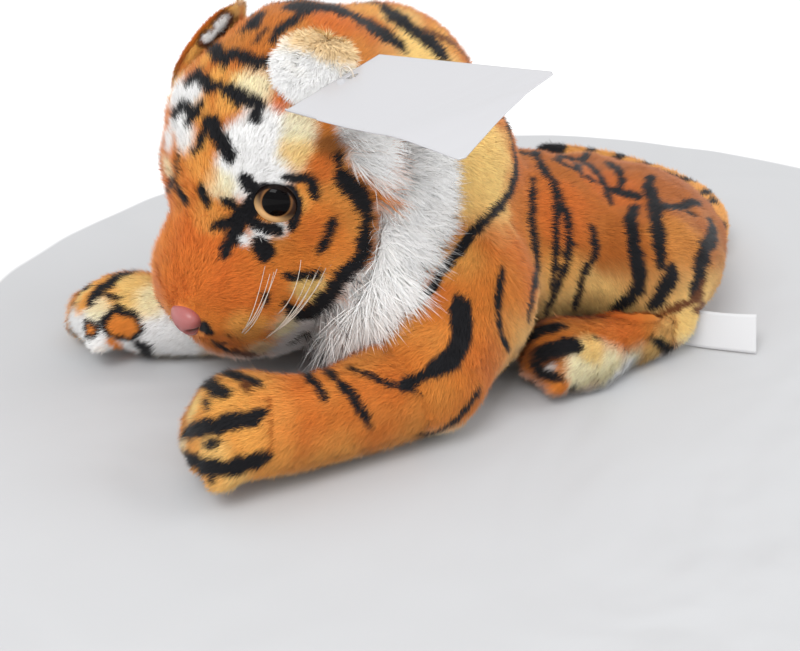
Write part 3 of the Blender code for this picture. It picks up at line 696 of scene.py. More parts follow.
def makeBody():
    members = ["belly_panel", "body_skin_left", "body_skin_right", "body_stuffing"]
    skin = Skin(softSkin("bodySkin", members, [], 3.0 * mm, 10, 1.2 * mm))
    drop = smoothStep(bodyLook["rumpStart"], bodyLook["rumpEnd"], skin.points[:, 0] / mm)
    drop *= smoothStep(bodyLook["dropFoot"], bodyLook["dropTop"], skin.points[:, 2] / mm)
    back = smoothStep(60, 100, skin.points[:, 0] / mm) * bodyLook["rumpBack"] * mm
    skin.shift(np.stack([back, back * 0, -drop * bodyLook["rumpDrop"] * mm], 1))
    laid, zones = layPaint(skin, bodyStripes, bodySpots, acrossBody)
    high = skin.points.max(0)
    for height, span in rumpArcs:
        laid.append(backArc(skin, span, bodyLook["arcWidth"], lambda aside: (
            high[0] + 10 * mm, aside * mm, (height - 0.012 * aside * aside) * mm)))

    def coatOf(points, normals):
        tall = points[:, 2] / high[2]
        colours = dappledCoat(points, bodyLook["dapple"])
        least, more = bodyLook["rust"]
        colours = mixIn(colours, "rust", least + more * smoothStep(-45, 30, points[:, 0] / mm))
        low = smoothStep(0.42, 0.16, tall + ripple(points, 0.03, 4) * 0.05)
        low *= smoothStep(-62, -20, points[:, 0] / mm) * smoothStep(105, 62, points[:, 0] / mm)
        colours = mixIn(colours, "yellow", low * 0.95)
        colours = mixIn(colours, "cream", smoothStep(0.14, 0.02, tall) * 0.85)
        return paintOver(points, colours, laid, zones)

    def flowOf(points, normals):
        flow = np.tile(np.array((1.0, 0.0, -0.15)), (len(points), 1))
        flow[:, 2] -= 0.9 * smoothStep(0.02, 0.05, np.abs(points[:, 1]))
        arm = smoothStep(-0.02, -0.06, points[:, 0]) * smoothStep(0.035, 0.06, np.abs(points[:, 1]))
        return flow * (1 - arm)[:, None] + np.array((-0.5, 0.0, -1.0)) * arm[:, None]

    piece = furPiece("bodyPlush", skin, coatOf, flowOf, bodyLook, seed=101)
    finishPlush(piece, "body", "plush_orange", members)


makeBody()
print("body done")

# Head: places are in millimetres in the head's own axes, or pixels of the photograph
headLook = {
    **shortPile, "length": 4.8 * mm, "lean": 0.66, "sway": 0.16, "stray": 0.16,
    "eyeClear": 8.4, "noseClear": 9.0, "noseTip": (70, 0, -58), "browPuff": (41, 26, 22),
    "browSize": (14, 15, 11), "hollow": 2.2, "hollowReach": 16, "farCrown": (205, 38), "crownSink": 8,
    "crownReach": 34, "flats": [(160, 120, 3.5, 25), (173, 336, 3.0, 19)],
    "dapple": (0.030, 5, 0.0, 0.45, 0.1, 0.4), "rust": (0.12, 0.38), "arcWidth": 2.8,
}
longPile = {"levels": 3, "clump": 6 * mm, "stray": 0.20, "curl": 0.50, "tipLight": 1.06}
cheekLook = {
    **longPile, "density": 3.2, "length": 13 * mm, "width": 0.34 * mm, "lean": 0.58, "sway": 0.40,
    "tone": 0.04, "rootShade": 0.96, "carry": 0.1,
}
# Where the photograph has the near eye and the nose
faceLook = {"eye": (276, 203), "nose": (187, 322)}
# Strokes on both sides of the head, then those that only one side shows
headMarks = [
    ("black", 15, [(290, 14), (298, 9), (305, 10)]),
    ("black", 17, [(300, 18), (309, 13), (318, 10), (331, 12), (347, 18), (364, 27), (377, 35), (390, 42),
                   (402, 52)]),
    ("black", 10, [(273, 44), (283, 32), (298, 22)]),
    ("black", 12, [(262, 17), (256, 24), (251, 33)]),
    ("black", 5, [(256, 46), (263, 37), (272, 31)]),
    ("black", 15, [(385, 14), (403, 27), (419, 38), (431, 46), (442, 60)]),
    ("brown", 7, [(423, 32), (444, 42), (458, 55), (465, 66)]),
    ("black", 12, [(244, 176), (250, 185), (260, 191)]),
    ("black", 17, [(262, 194), (252, 205), (243, 213)]),
    ("black", 11, [(244, 215), (230, 221), (214, 227)]),
    ("black", 12, [(246, 216), (237, 229), (225, 256)]),
    ("black", 9, [(244, 216), (256, 223), (270, 228), (284, 228)]),
    ("black", 9, [(288, 186), (296, 192), (299, 210), (292, 228)]),
    ("black", 8, [(258, 189), (270, 185), (286, 186)]),
    ("black", 9, [(284, 177), (302, 177), (314, 178), (317, 198)]),
    ("black", 9, [(334, 216), (328, 234), (320, 251)]),
    ("black", 7, [(338, 150), (340, 169)]),
    ("black", 17, [(340, 170), (348, 186), (360, 194), (367, 208)]),
    ("black", 14, [(367, 208), (365, 222), (363, 238), (362, 254), (350, 267), (339, 280), (329, 296),
                   (318, 307), (304, 314), (294, 309), (285, 301)]),
    ("black", 8, [(284, 274), (300, 276), (312, 273), (323, 270)]),
    ("black", 8, [(265, 290), (266, 303)]),
    ("black", 20, [(263, 243), (264, 247), (265, 251)]),
    ("black", 5, [(288, 341), (308, 328)]),
    ("black", 14, [(203, 325), (208, 332)]),
    ("black", 6, [(230, 334), (232, 336)]),
    ("black", 6, [(221, 342), (226, 342)]),
    ("black", 5, [(214, 340), (226, 348), (240, 351), (254, 350)]),
    ("brown", 6, [(236, 348), (252, 352), (266, 355)]),
]
leftMarks = [
    ("black", 13, [(214, 49), (224, 57), (229, 66)]),
    ("black", 12, [(228, 58), (237, 56), (248, 60), (258, 64), (270, 65)]),
    ("black", 14, [(228, 88), (241, 98), (256, 103)]),
    ("black", 11, [(262, 103), (260, 111), (256, 121)]),
    ("black", 15, [(210, 118), (217, 130), (225, 141), (233, 156)]),
    ("black", 7, [(196, 149), (203, 139), (209, 128)]),
    ("black", 10, [(202, 184), (209, 203)]),
    ("black", 9, [(225, 199), (237, 203)]),
]
rightMarks = [
    ("black", 11, [(190, 84), (201, 74), (206, 81), (214, 90), (223, 86)]),
    ("black", 11, [(177, 114), (188, 104), (196, 116)]),
    ("black", 10, [(203, 105), (197, 115), (190, 122)]),
    ("black", 9, [(164, 124), (162, 142), (165, 160)]),
    ("black", 4, [(182, 150), (177, 166)]),
    ("black", 5, [(182, 165), (170, 190)]),
    ("black", 10, [(180, 187), (188, 201)]),
]
headSpots = [
    (283, 140, 11, "white", 1.0), (262, 126, 9, "white", 1.0), (257, 160, 10, "white", 1.0),
    (240, 140, 8, "white", 1.0), (232, 170, 8, "white", 1.0), (245, 186, 6, "white", 0.9),
    (275, 176, 7, "white", 1.0), (222, 185, 7, "cream", 0.8),
    (192, 95, 9, "white", 1.0), (181, 118, 8, "white", 1.0), (187, 134, 7, "white", 0.9),
    (171, 140, 5, "white", 0.9), (170, 165, 5, "cream", 0.8), (240, 88, 7, "yellow", 0.9),
    (258, 88, 8, "cream", 0.9), (298, 149, 7, "yellow", 0.9), (300, 125, 7, "cream", 0.8),
    # the brown spot at (330, 148) and the deep spot at (322, 165) are painted shade in the hollow behind the
    # near ear and cheek
    (330, 148, 6, "brown", 0.7), (322, 165, 6, "deep", 0.7), (283, 102, 4, "deep", 0.8),
    (200, 255, 20, "deep", 0.55), (240, 290, 12, "deep", 0.4), (210, 215, 8, "gold", 0.6),
    (250, 325, 8, "gold", 0.9), (262, 232, 4.5, "white", 1.0), (245, 238, 3.5, "white", 1.0),
    (281, 228, 3.5, "white", 1.0), (300, 200, 5, "gold", 0.7), (308, 288, 7, "yellow", 1.0),
    (320, 280, 4, "yellow", 0.8), (286, 324, 8, "cream", 1.0), (300, 330, 8, "white", 1.0),
    (315, 320, 8, "white", 1.0), (285, 340, 9, "white", 1.0), (305, 345, 9, "white", 1.0),
    (262, 345, 6, "cream", 0.7), (430, 80, 22, "yellow", 0.8), (365, 12, 9, "gold", 0.8),
    (400, 20, 10, "yellow", 0.7), (415, 52, 10, "yellow", 0.9), (440, 40, 8, "gold", 0.8),
    (178, 94, 7, "white", 1.0), (170, 108, 7, "white", 1.0), (166, 118, 6, "white", 1.0),
    (228, 104, 6, "gold", 0.9), (205, 110, 6, "gold", 0.7), (372, 195, 4, "orange", 1.0),
    (330, 25, 10, "deep", 0.6), (210, 60, 5, "gold", 0.8), (222, 77, 5, "gold", 0.9),
    (205, 142, 4, "gold", 0.8), (203, 165, 8, "gold", 0.7),
]
cheekSpots = [(352, 130, 7), (368, 152, 9), (392, 185, 11), (394, 222, 12), (388, 258, 12),
              (366, 288, 11), (345, 313, 10), (322, 334, 8)]
# Bands across the nape, out of the photograph's sight: ahead and half span
napeArcs = [(-30, 40), (-48, 34)]


def jawFlow(points, normals):
    # Long pile lies back from the cheekbones and hangs
    return unitRows(points - np.array(onHead(44, 0, 14))) + np.array((0.1, 0, -0.45))


def makeHead():
    members = ["head_skin_left", "head_skin_right", "head_stuffing"]
    puffs = []
    ahead, aside, up = headLook["browPuff"]
    for side in (1, -1):
        sizes = [size * mm for size in headLook["browSize"]]
        puffs.append((onHead(ahead, side * aside, up), sizes, headTurn))
    piece = softSkin("headSkin", members, puffs, 2.6 * mm, 7, 1.2 * mm)
    skin = Skin(piece)
    crown = np.array(skin.at(*headLook["farCrown"])[0])
    gap = np.linalg.norm(skin.points - crown, axis=1) / mm
    skin.press(headLook["crownSink"] * mm * smoothStep(headLook["crownReach"], 4, gap))
    for spot in headLook["flats"]:
        skin.pressAt(*spot)
    leftEye, tip = skin.at(*faceLook["eye"])[0], skin.at(*faceLook["nose"])[0]
    eyes = [leftEye, acrossHead(leftEye)]
    for eye in eyes:
        gap = np.linalg.norm(skin.points - np.array(eye), axis=1) / mm
        skin.press(headLook["hollow"] * mm * np.maximum(0, 1 - gap / headLook["hollowReach"]))
    laid, zones = layPaint(skin, headMarks, headSpots, acrossHead)
    for strokes in (leftMarks, rightMarks):
        laid += layPaint(skin, strokes, [])[0]
    for ahead, span in napeArcs:
        laid.append(backArc(skin, span, headLook["arcWidth"],
                            lambda aside: onHead(ahead, aside, 90 - 0.02 * aside * aside)))
    cheeks = []
    for x, y, radius in cheekSpots:
        spot = skin.at(x, y)[0]
        cheeks += [(spot, radius * mm), (skin.near(acrossHead(spot))[0], radius * mm)]

    def cheekShare(points):
        share = np.zeros(len(points))
        for spot, radius in cheeks:
            share = np.maximum(share, zoneShare(points, spot, radius, radius * 0.3))
        return share

    def coatOf(points, normals):
        colours = dappledCoat(points, headLook["dapple"])
        place = towardHead(points)
        least, more = headLook["rust"]
        colours = mixIn(colours, "rust", least + more * smoothStep(8, 42, place[:, 2]))
        under = smoothStep(-70, -84, place[:, 2] + ripple(points, 0.02, 6) * 3)
        colours = mixIn(colours, "white", under * 0.9)
        colours = mixIn(colours, "white", cheekShare(points))
        return paintOver(points, colours, laid, zones)

    noseTip = np.array(onHead(*headLook["noseTip"]))

    def flowOf(points, normals):
        return unitRows(points - noseTip) + np.array((0, 0, -0.25))

    def trim(points):
        scale = np.ones(len(points))
        near = np.minimum(*[np.linalg.norm(points - np.array(eye), axis=1) for eye in eyes]) / mm
        bare = np.linalg.norm(points - np.array(tip), axis=1) / mm
        scale *= 0.35 + 0.65 * smoothStep(headLook["eyeClear"], headLook["eyeClear"] + 9, near)
        scale *= 0.40 + 0.60 * smoothStep(headLook["noseClear"], headLook["noseClear"] + 22, bare)
        scale[(near < headLook["eyeClear"]) | (bare < headLook["noseClear"])] = 0
        return scale

    def cheekPick(points):
        return smoothStep(0.2, 0.9, cheekShare(points)) * 0.95

    tufts = longTuft(skin, cheekLook, cheekPick, coatOf, jawFlow, 231)
    furPiece("headPlush", skin, coatOf, flowOf, headLook, trim, seed=201, extra=[tufts])
    finishPlush(piece, "head", "plush_orange", members)
    return skin


headSkin = makeHead()
print("head done")

# Cheek ruffs: long white pile that hangs back and down from the jaw
ruffLook = {
    **longPile, "density": 5.0, "length": 20 * mm, "width": 0.36 * mm, "lean": 0.62, "sway": 0.48,
    "tone": 0.05, "rootShade": 0.92, "skinTone": 0.95, "carry": 0.3, "highShare": 0.50,
}


def makeRuff(side):
    name = "cheek_ruff_" + side
    skin = Skin(softSkin("ruffSkin" + side, [name], [], 2.0 * mm, 6, 1.0 * mm))

    def coatOf(points, normals):
        colours = np.tile(coatColours["white"], (len(points), 1))
        return mixIn(colours, "grey", smoothStep(0.3, 1.0, ripple(points, 0.012, 8)) * 0.35)

    def trim(points):
        high = smoothStep(-50, -5, towardHead(points)[:, 2])
        return 1 - (1 - ruffLook["highShare"]) * high

    seed = 301 + len(side)
    piece = furPiece("ruffPile" + side.title(), skin, coatOf, jawFlow, ruffLook, trim, seed)
    finishPlush(piece, "head", "long_pile_white", [name])


for side in ("left", "right"):
    makeRuff(side)
print("ruffs done")

# Ears: a short tan back and a deep fluffy lining
earLook = {
    "density": 7, "length": 2.6 * mm, "width": 0.36 * mm, "levels": 1, "lean": 0.65, "clump": 6 * mm,
    "sway": 0.14, "stray": 0.16, "curl": 0.10, "tone": 0.07, "rootShade": 0.84, "tipLight": 1.10,
    "skinTone": 0.92, "carry": 0.5, "middle": {"left": (315, 67), "right": (209, 49)},
    "deeper": {"left": 1.8, "right": 4.0}, "scale": {"left": 0.80, "right": 1.27},
    "thicken": {"left": 1.0, "right": 1.2}, "turn": {"left": 0, "right": -20},
    "opening": {"left": 0.10, "right": 0.85}, "fanFrom": 13,
}
liningLook = {
    "density": 20, "length": 4.6 * mm, "width": 0.44 * mm, "levels": 2, "lean": 0.50, "clump": 5 * mm,
    "sway": 0.26, "stray": 0.24, "curl": 0.35, "tone": 0.03, "rootShade": 0.98, "tipLight": 1.05,
}
farEarMarks = [
    ("brown", 10, [(201, 44), (214, 34), (224, 24), (231, 15)]),
    ("white", 5, [(204, 41), (214, 32), (222, 24), (227, 17)]),
]
farEarSpots = [(188, 52, 9, "gold", 0.8), (203, 32, 9, "gold", 0.8), (190, 72, 5, "deep", 0.9),
               (205, 58, 5, "deep", 0.9), (222, 42, 5, "deep", 0.9), (238, 26, 5, "deep", 0.8)]


def makeEar(side):
    members = ["ear_" + side + "_lining", "ear_" + side + "_back"]
    skin = Skin(softSkin("earSkin" + side, members, [], 1.5 * mm, 6, 0.8 * mm))
    lining, back = (nodePoints(member) for member in members)
    facing = Vector(lining.mean(0) - back.mean(0)).normalized()
    turn = Matrix.Rotation(math.radians(earLook["turn"][side]), 3, eyeTurn.col[2])
    stretch = Matrix.Scale(earLook["thicken"][side], 3, facing) * earLook["scale"][side]
    skin.reshape(turn @ stretch, np.zeros(3))
    facing = turn @ facing
    middle = Vector(skin.points.mean(0))
    ray = pixelRay(*earLook["middle"][side])
    reach = (middle - eyePoint).dot(sight) / ray.dot(sight) + earLook["deeper"][side] * mm
    skin.shift(np.array(eyePoint + ray * reach - middle))
    middle = skin.points.mean(0)
    rise = np.array(eyeTurn.col[0] * 0.35 + eyeTurn.col[1] * 0.94)
    fan = middle + rise * (earLook["fanFrom"] * mm if side == "left" else 0)
    laid, zones = layPaint(skin, farEarMarks, farEarSpots) if side == "right" else ([], [])

    def innerShare(points, normals):
        least = earLook["opening"][side]
        return smoothStep(least, least + 0.25, normals @ np.array(facing))

    def coatOf(points, normals):
        colours = np.tile(coatColours["tan"], (len(points), 1))
        patchy = ripple(points, 0.02, 9)
        colours = mixIn(colours, "orange", smoothStep(-0.4, 0.8, patchy) * 0.6)
        inner = innerShare(points, normals)
        colours = mixIn(colours, "white", inner)
        high = smoothStep(-0.001, 0.010, (points - middle) @ rise + ripple(points, 0.012, 10) * 0.002)
        colours = mixIn(colours, "yellow", inner * high * 0.75)
        return paintOver(points, colours, laid, zones)

    def flowOf(points, normals):
        return unitRows(points - fan) - np.array(facing) * 0.2

    roots, normals = pileRoots(skin, pileDensity(liningLook), 421)
    inner = innerShare(roots, normals)
    kept = inner > 0.2
    roots, normals, inner = roots[kept], normals[kept], inner[kept]
    settings = dict(liningLook)
    settings["length"] = liningLook["length"] * (0.5 + 0.5 * inner)
    fluff = fibreArrays(roots, normals, flowOf(roots, normals), coatOf(roots, normals), settings, 431)
    piece = furPiece("earPlush" + side.title(), skin, coatOf, flowOf, earLook, seed=401, extra=[fluff])
    finishPlush(piece, "ear_" + side, "plush_tan", members)


for side in ("left", "right"):
    makeEar(side)
print("ears done")

# Limbs
limbDapple = {"foreleg": (0.028, 13, -0.2, 0.5, 0.2, 0.4), "hindfoot": (0.025, 14, -0.2, 0.6, 0.1, 0)}
limbRust = {"foreleg": 0.38, "hindfoot": 0.55}
limbShrink = {"left": 3.0 * mm, "right": 2.0 * mm}
# Places where the photograph has the limb slimmer: pixel, depth and reach in millimetres
limbFlats = {"left": [(310, 350, 5.0, 32), (232, 492, 5.5, 28)],
             "right": [(97, 362, 8.0, 26), (106, 268, 3.5, 26), (88, 350, 6.0, 20)],
             "hind": [(622, 300, 7.0, 36), (600, 388, -4.0, 24)]}
# A ball about each limb's own pivot fills the cut between limb and body: radii in millimetres
pivotBalls = {"foreleg_left": (24, 24, 24), "foreleg_right": (20, 20, 19), "hindfoot_left": (13, 13, 13),
              "hindfoot_right": (13, 13, 13), "tail": (12, 12, 11)}


def pivotBall(body):
    joint = next(entry for entry in frame["joints"] if entry["child"] == body)
    return Vector(joint["pos_m"]), [size * mm for size in pivotBalls[body]], Matrix.Identity(3)


# Toes swell from the paw's front: places along the leg's heading, aside and up, then sizes
toeLook = {"reach": 15, "spread": (-15, -5.5, 5.5, 15), "height": -10, "size": (11, 6.5, 12)}
forelegMarks = {
    "left": [
        ("black", 8, [(303, 370), (311, 382), (320, 394), (324, 402)]),
        ("black", 8, [(324, 370), (340, 386), (357, 406), (369, 428)]),
        # painted shade: this black line lies in the crease between the foreleg and the body
        ("black", 5, [(346, 369), (372, 379), (397, 388), (431, 396)]),
        ("black", 6, [(416, 433), (444, 427), (469, 404)]),
        ("black", 12, [(438, 368), (426, 377), (412, 383), (398, 388)]),
        ("black", 9, [(200, 380), (214, 374), (232, 376), (248, 381), (260, 388)]),
        ("brown", 8, [(243, 384), (248, 396)]),
        # painted shade: this thin rust line lies in the crease down the paw
        ("rust", 3, [(268, 400), (270, 430), (267, 462)]),
        ("black", 13, [(194, 376), (205, 384), (216, 391), (226, 398)]),
        ("black", 6, [(206, 400), (211, 412)]),
        ("black", 8, [(227, 360), (231, 371)]),
        ("black", 14, [(186, 437), (198, 430), (215, 428), (234, 421), (247, 422), (264, 413)]),
        ("black", 8, [(207, 446), (222, 442)]),
        ("black", 15, [(193, 458), (205, 465), (221, 470), (236, 465), (251, 461), (266, 457)]),
        ("black", 7, [(192, 462), (194, 474), (204, 482)]),
        ("black", 5, [(213, 474), (215, 484)]),
    ],
    "right": [
        ("black", 11, [(133, 275), (121, 277), (114, 283), (106, 288), (98, 294), (91, 305)]),
        ("black", 5, [(107, 296), (121, 300)]),
        ("black", 7, [(70, 303), (74, 306)]),
        ("black", 6, [(88, 277), (83, 297)]),
        ("black", 4, [(114, 307), (127, 309)]),
        ("black", 25, [(111, 325), (133, 326)]),
        ("orange", 14, [(111, 325), (134, 327)]),
        ("black", 15, [(94, 326), (94, 335)]),
        ("orange", 8, [(94, 326), (94, 334)]),
        ("orange", 8, [(107, 341), (119, 344), (134, 349)]),
        ("black", 10, [(140, 341), (146, 347), (149, 354)]),
    ],
}
forelegSpots = {
    "left": [
        (197, 408, 6, "yellow", 1.0), (212, 402, 5, "gold", 0.8), (228, 400, 7, "gold", 0.7),
        (255, 440, 6, "gold", 0.6), (205, 478, 5, "orange", 0.7), (188, 446, 5, "cream", 0.7),
        (215, 452, 7, "yellow", 0.6), (232, 485, 8, "yellow", 0.7), (330, 455, 14, "gold", 0.6),
        (400, 440, 14, "gold", 0.5), (300, 420, 16, "deep", 0.3), (380, 410, 16, "deep", 0.3),
    ],
    "right": [
        (110, 338, 10, "white", 1.0), (80, 325, 7, "white", 1.0), (135, 335, 9, "white", 1.0),
        (80, 340, 11, "white", 1.0), (100, 355, 13, "white", 1.0), (125, 362, 12, "white", 1.0),
        (100, 310, 6, "cream", 0.8), (175, 345, 14, "white", 1.0), (160, 335, 12, "white", 0.9),
        (138, 292, 12, "yellow", 0.9), (150, 300, 8, "cream", 0.8), (128, 284, 7, "yellow", 0.8),
        (110, 278, 7, "gold", 0.8), (78, 290, 6, "yellow", 0.9),
    ],
}


def makeForeleg(side):
    members = ["foreleg_" + side + "_skin", "paw_" + side + "_skin", "foreleg_" + side + "_stuffing"]
    leg, paw = nodePoints(members[0]).mean(0), nodePoints(members[1]).mean(0)
    heading = Vector(paw - leg)
    heading.z = 0
    heading.normalize()
    aside = Vector((-heading.y, heading.x, 0))
    turn = Matrix((heading, aside, Vector((0, 0, 1)))).transposed()
    toes = [pivotBall("foreleg_" + side)]
    for spread in toeLook["spread"]:
        reach = toeLook["reach"] - 0.012 * spread * spread
        spot = Vector(paw) + turn @ Vector((reach, spread, toeLook["height"] * 0.5)) * mm
        toes.append((spot, [size * mm for size in toeLook["size"]], turn))
    skin = Skin(softSkin("forelegSkin" + side, members, toes, 2.4 * mm, 6, limbShrink[side]))
    for spot in limbFlats[side]:
        skin.pressAt(*spot)
    laid, zones = layPaint(skin, forelegMarks[side], forelegSpots[side])

    def coatOf(points, normals):
        colours = dappledCoat(points, limbDapple["foreleg"])
        colours = mixIn(colours, "rust", limbRust["foreleg"])
        along = (points - paw) @ np.array(heading) / mm
        colours = mixIn(colours, "gold", smoothStep(-22, -8, along) * 0.7)
        low = smoothStep(0.014, 0.003, points[:, 2])
        colours = mixIn(colours, "cream", low * 0.7)
        return paintOver(points, colours, laid, zones)

    def flowOf(points, normals):
        return np.tile(np.array(heading) + np.array((0, 0, -0.35)), (len(points), 1))

    piece = furPiece("forelegPlush" + side.title(), skin, coatOf, flowOf, shortPile, seed=501 + len(side))
    finishPlush(piece, "foreleg_" + side, "plush_orange", members)


for side in ("left", "right"):
    makeForeleg(side)
print("forelegs done")

hindfootMarks = [
    ("black", 8, [(594, 335), (611, 342), (625, 348), (637, 356)]),
    ("black", 10, [(640, 331), (649, 338), (661, 346), (671, 351)]),
    ("brown", 15, [(534, 360), (548, 355), (562, 350)]),
    ("black", 14, [(540, 356), (552, 351), (565, 347), (577, 346)]),
    ("black", 11, [(516, 348), (530, 340), (545, 331), (563, 329)]),
    ("black", 9, [(534, 364), (545, 374), (560, 380)]),
    ("black", 5, [(560, 394), (567, 391), (573, 384)]),
]
hindfootSpots = [
    (583, 362, 9, "cream", 1.0), (605, 368, 10, "cream", 1.0), (590, 350, 7, "yellow", 0.9),
    (630, 368, 9, "cream", 0.9), (650, 356, 7, "yellow", 0.9), (668, 335, 8, "yellow", 0.7),
    (580, 378, 7, "cream", 1.0), (600, 388, 10, "white", 1.0), (625, 380, 8, "white", 1.0),
    (548, 368, 4, "grey", 0.9), (558, 388, 4, "orange", 1.0), (620, 322, 12, "deep", 0.6),
]


def makeHindfoot(side):
    members = ["hindfoot_" + side + "_skin", "hindfoot_" + side + "_stuffing"]
    skin = Skin(softSkin("hindfootSkin" + side, members, [pivotBall("hindfoot_" + side)], 2.4 * mm, 6,
                         1.0 * mm))
    onLeft = Skin(softSkin("hindfootCopy", [name.replace(side, "left") for name in members], [],
                           2.4 * mm, 6, 1.0 * mm))
    laid, zones = layPaint(onLeft, hindfootMarks, hindfootSpots)
    flip = np.array((1, 1 if side == "left" else -1, 1))
    for x, y, depth, reach in limbFlats["hind"]:
        gap = np.linalg.norm(skin.points - np.array(onLeft.at(x, y)[0]) * flip, axis=1) / mm
        skin.press(depth * mm * smoothStep(reach, reach * 0.12, gap))
    bpy.data.objects.remove(onLeft.piece)
    if side == "right":
        laid = [(colour, (line * flip, halves)) for colour, (line, halves) in laid]
        zones = [(tuple(np.array(spot) * flip), *rest) for spot, *rest in zones]

    def coatOf(points, normals):
        colours = dappledCoat(points, limbDapple["hindfoot"])
        colours = mixIn(colours, "rust", limbRust["hindfoot"])
        low = smoothStep(0.013, 0.004, points[:, 2])
        colours = mixIn(colours, "white", low * 0.8)
        return paintOver(points, colours, laid, zones)

    def flowOf(points, normals):
        return np.tile(np.array((-1.0, 0, -0.35)), (len(points), 1))

    piece = furPiece("hindfootPlush" + side.title(), skin, coatOf, flowOf, shortPile, seed=601 + len(side))
    finishPlush(piece, "hindfoot_" + side, "plush_orange", members)


for side in ("left", "right"):
    makeHindfoot(side)
print("hind feet done")

# Tail: dark rings along its curve, and a dark tip
tailLook = {"centre": (62, 76), "rings": 9, "ringShare": 0.36, "tipShare": 0.93, "taller": 0.27}
# Rings the photograph shows, each from the tail's outer edge to the rump's outline
tailRings = [("black", 8, [(641, 150), (650, 162)]), ("black", 8, [(655, 153), (664, 166)]),
             ("black", 7, [(680, 163), (668, 176)]), ("black", 9, [(699, 174), (682, 184)]),
             ("black", 6, [(716, 191), (700, 197)]), ("black", 6, [(721, 201), (706, 206)]),
             ("black", 6, [(731, 225), (716, 228)])]


def makeTail():
    members = ["tail_skin", "tail_stuffing"]
    skin = Skin(softSkin("tailSkin", members, [pivotBall("tail")], 2.2 * mm, 6, 0.8 * mm))
    middle = np.array(tailLook["centre"]) * mm
    skin.shift(skin.points * np.array((0, 0, tailLook["taller"])))
    laid = layPaint(skin, tailRings, [])[0]

    def turnOf(points):
        return np.arctan2(points[:, 1] - middle[1], points[:, 0] - middle[0])

    turns = turnOf(skin.points)
    low, high = turns.min(), turns.max()
    seen = turnOf(np.concatenate([line for _, (line, _) in laid]))

    def coatOf(points, normals):
        colours = np.tile(coatColours["tan"], (len(points), 1))
        colours = mixIn(colours, "orange", smoothStep(0.004, 0.018, points[:, 2]) * 0.5)
        turns = turnOf(points)
        share = (turns - low) / (high - low)
        beat = (share * tailLook["rings"] + ripple(points, 0.02, 15) * 0.06) % 1
        wide = tailLook["ringShare"]
        ring = smoothStep(0.06, 0.12, beat) * smoothStep(wide + 0.12, wide, beat)
        free = np.maximum(smoothStep(seen.min(), seen.min() - 0.1, turns),
                          smoothStep(seen.max(), seen.max() + 0.1, turns))
        colours = mixIn(colours, "black", ring * free * smoothStep(0.05, 0.14, share))
        colours = paintOver(points, colours, laid, [])
        return mixIn(colours, "black", smoothStep(tailLook["tipShare"] - 0.02, tailLook["tipShare"], share))

    def flowOf(points, normals):
        out = points[:, :2] - middle
        return np.stack([-out[:, 1], out[:, 0], np.zeros(len(points))], 1)

    piece = furPiece("tailPlush", skin, coatOf, flowOf, shortPile, seed=701)
    finishPlush(piece, "tail", "plush_tan", members)


makeTail()
print("tail done")


# Eyes: a domed glass-look button, a bronze ring with painted light below and painted shade above, round a wide
# dark pupil
eyeLook = {
    "radius": 9.2, "dome": 5.6, "foot": -1.6, "pupilShare": 0.64, "rimShare": 0.96, "rings": 40,
    "turns": 72, "light": (-0.60, 0.80), "proud": 0.2, "sleepy": 0.30, "gaze": (0.36, 0.16),
    "glint": (285, 195),
}
glintAims = []
eyeColours = {"pupil": shade(6, 5, 6), "amber": shade(226, 180, 124), "inner": shade(140, 96, 56),
              "shadow": shade(52, 36, 28), "rim": shade(24, 18, 16)}


def facingFrame(outward):
    # Axes of a button: outward, to its left, up the face
    up = headTurn @ Vector((0, 0, 1))
    up = (up - outward * up.dot(outward)).normalized()
    return Matrix((outward, up.cross(outward), up)).transposed()


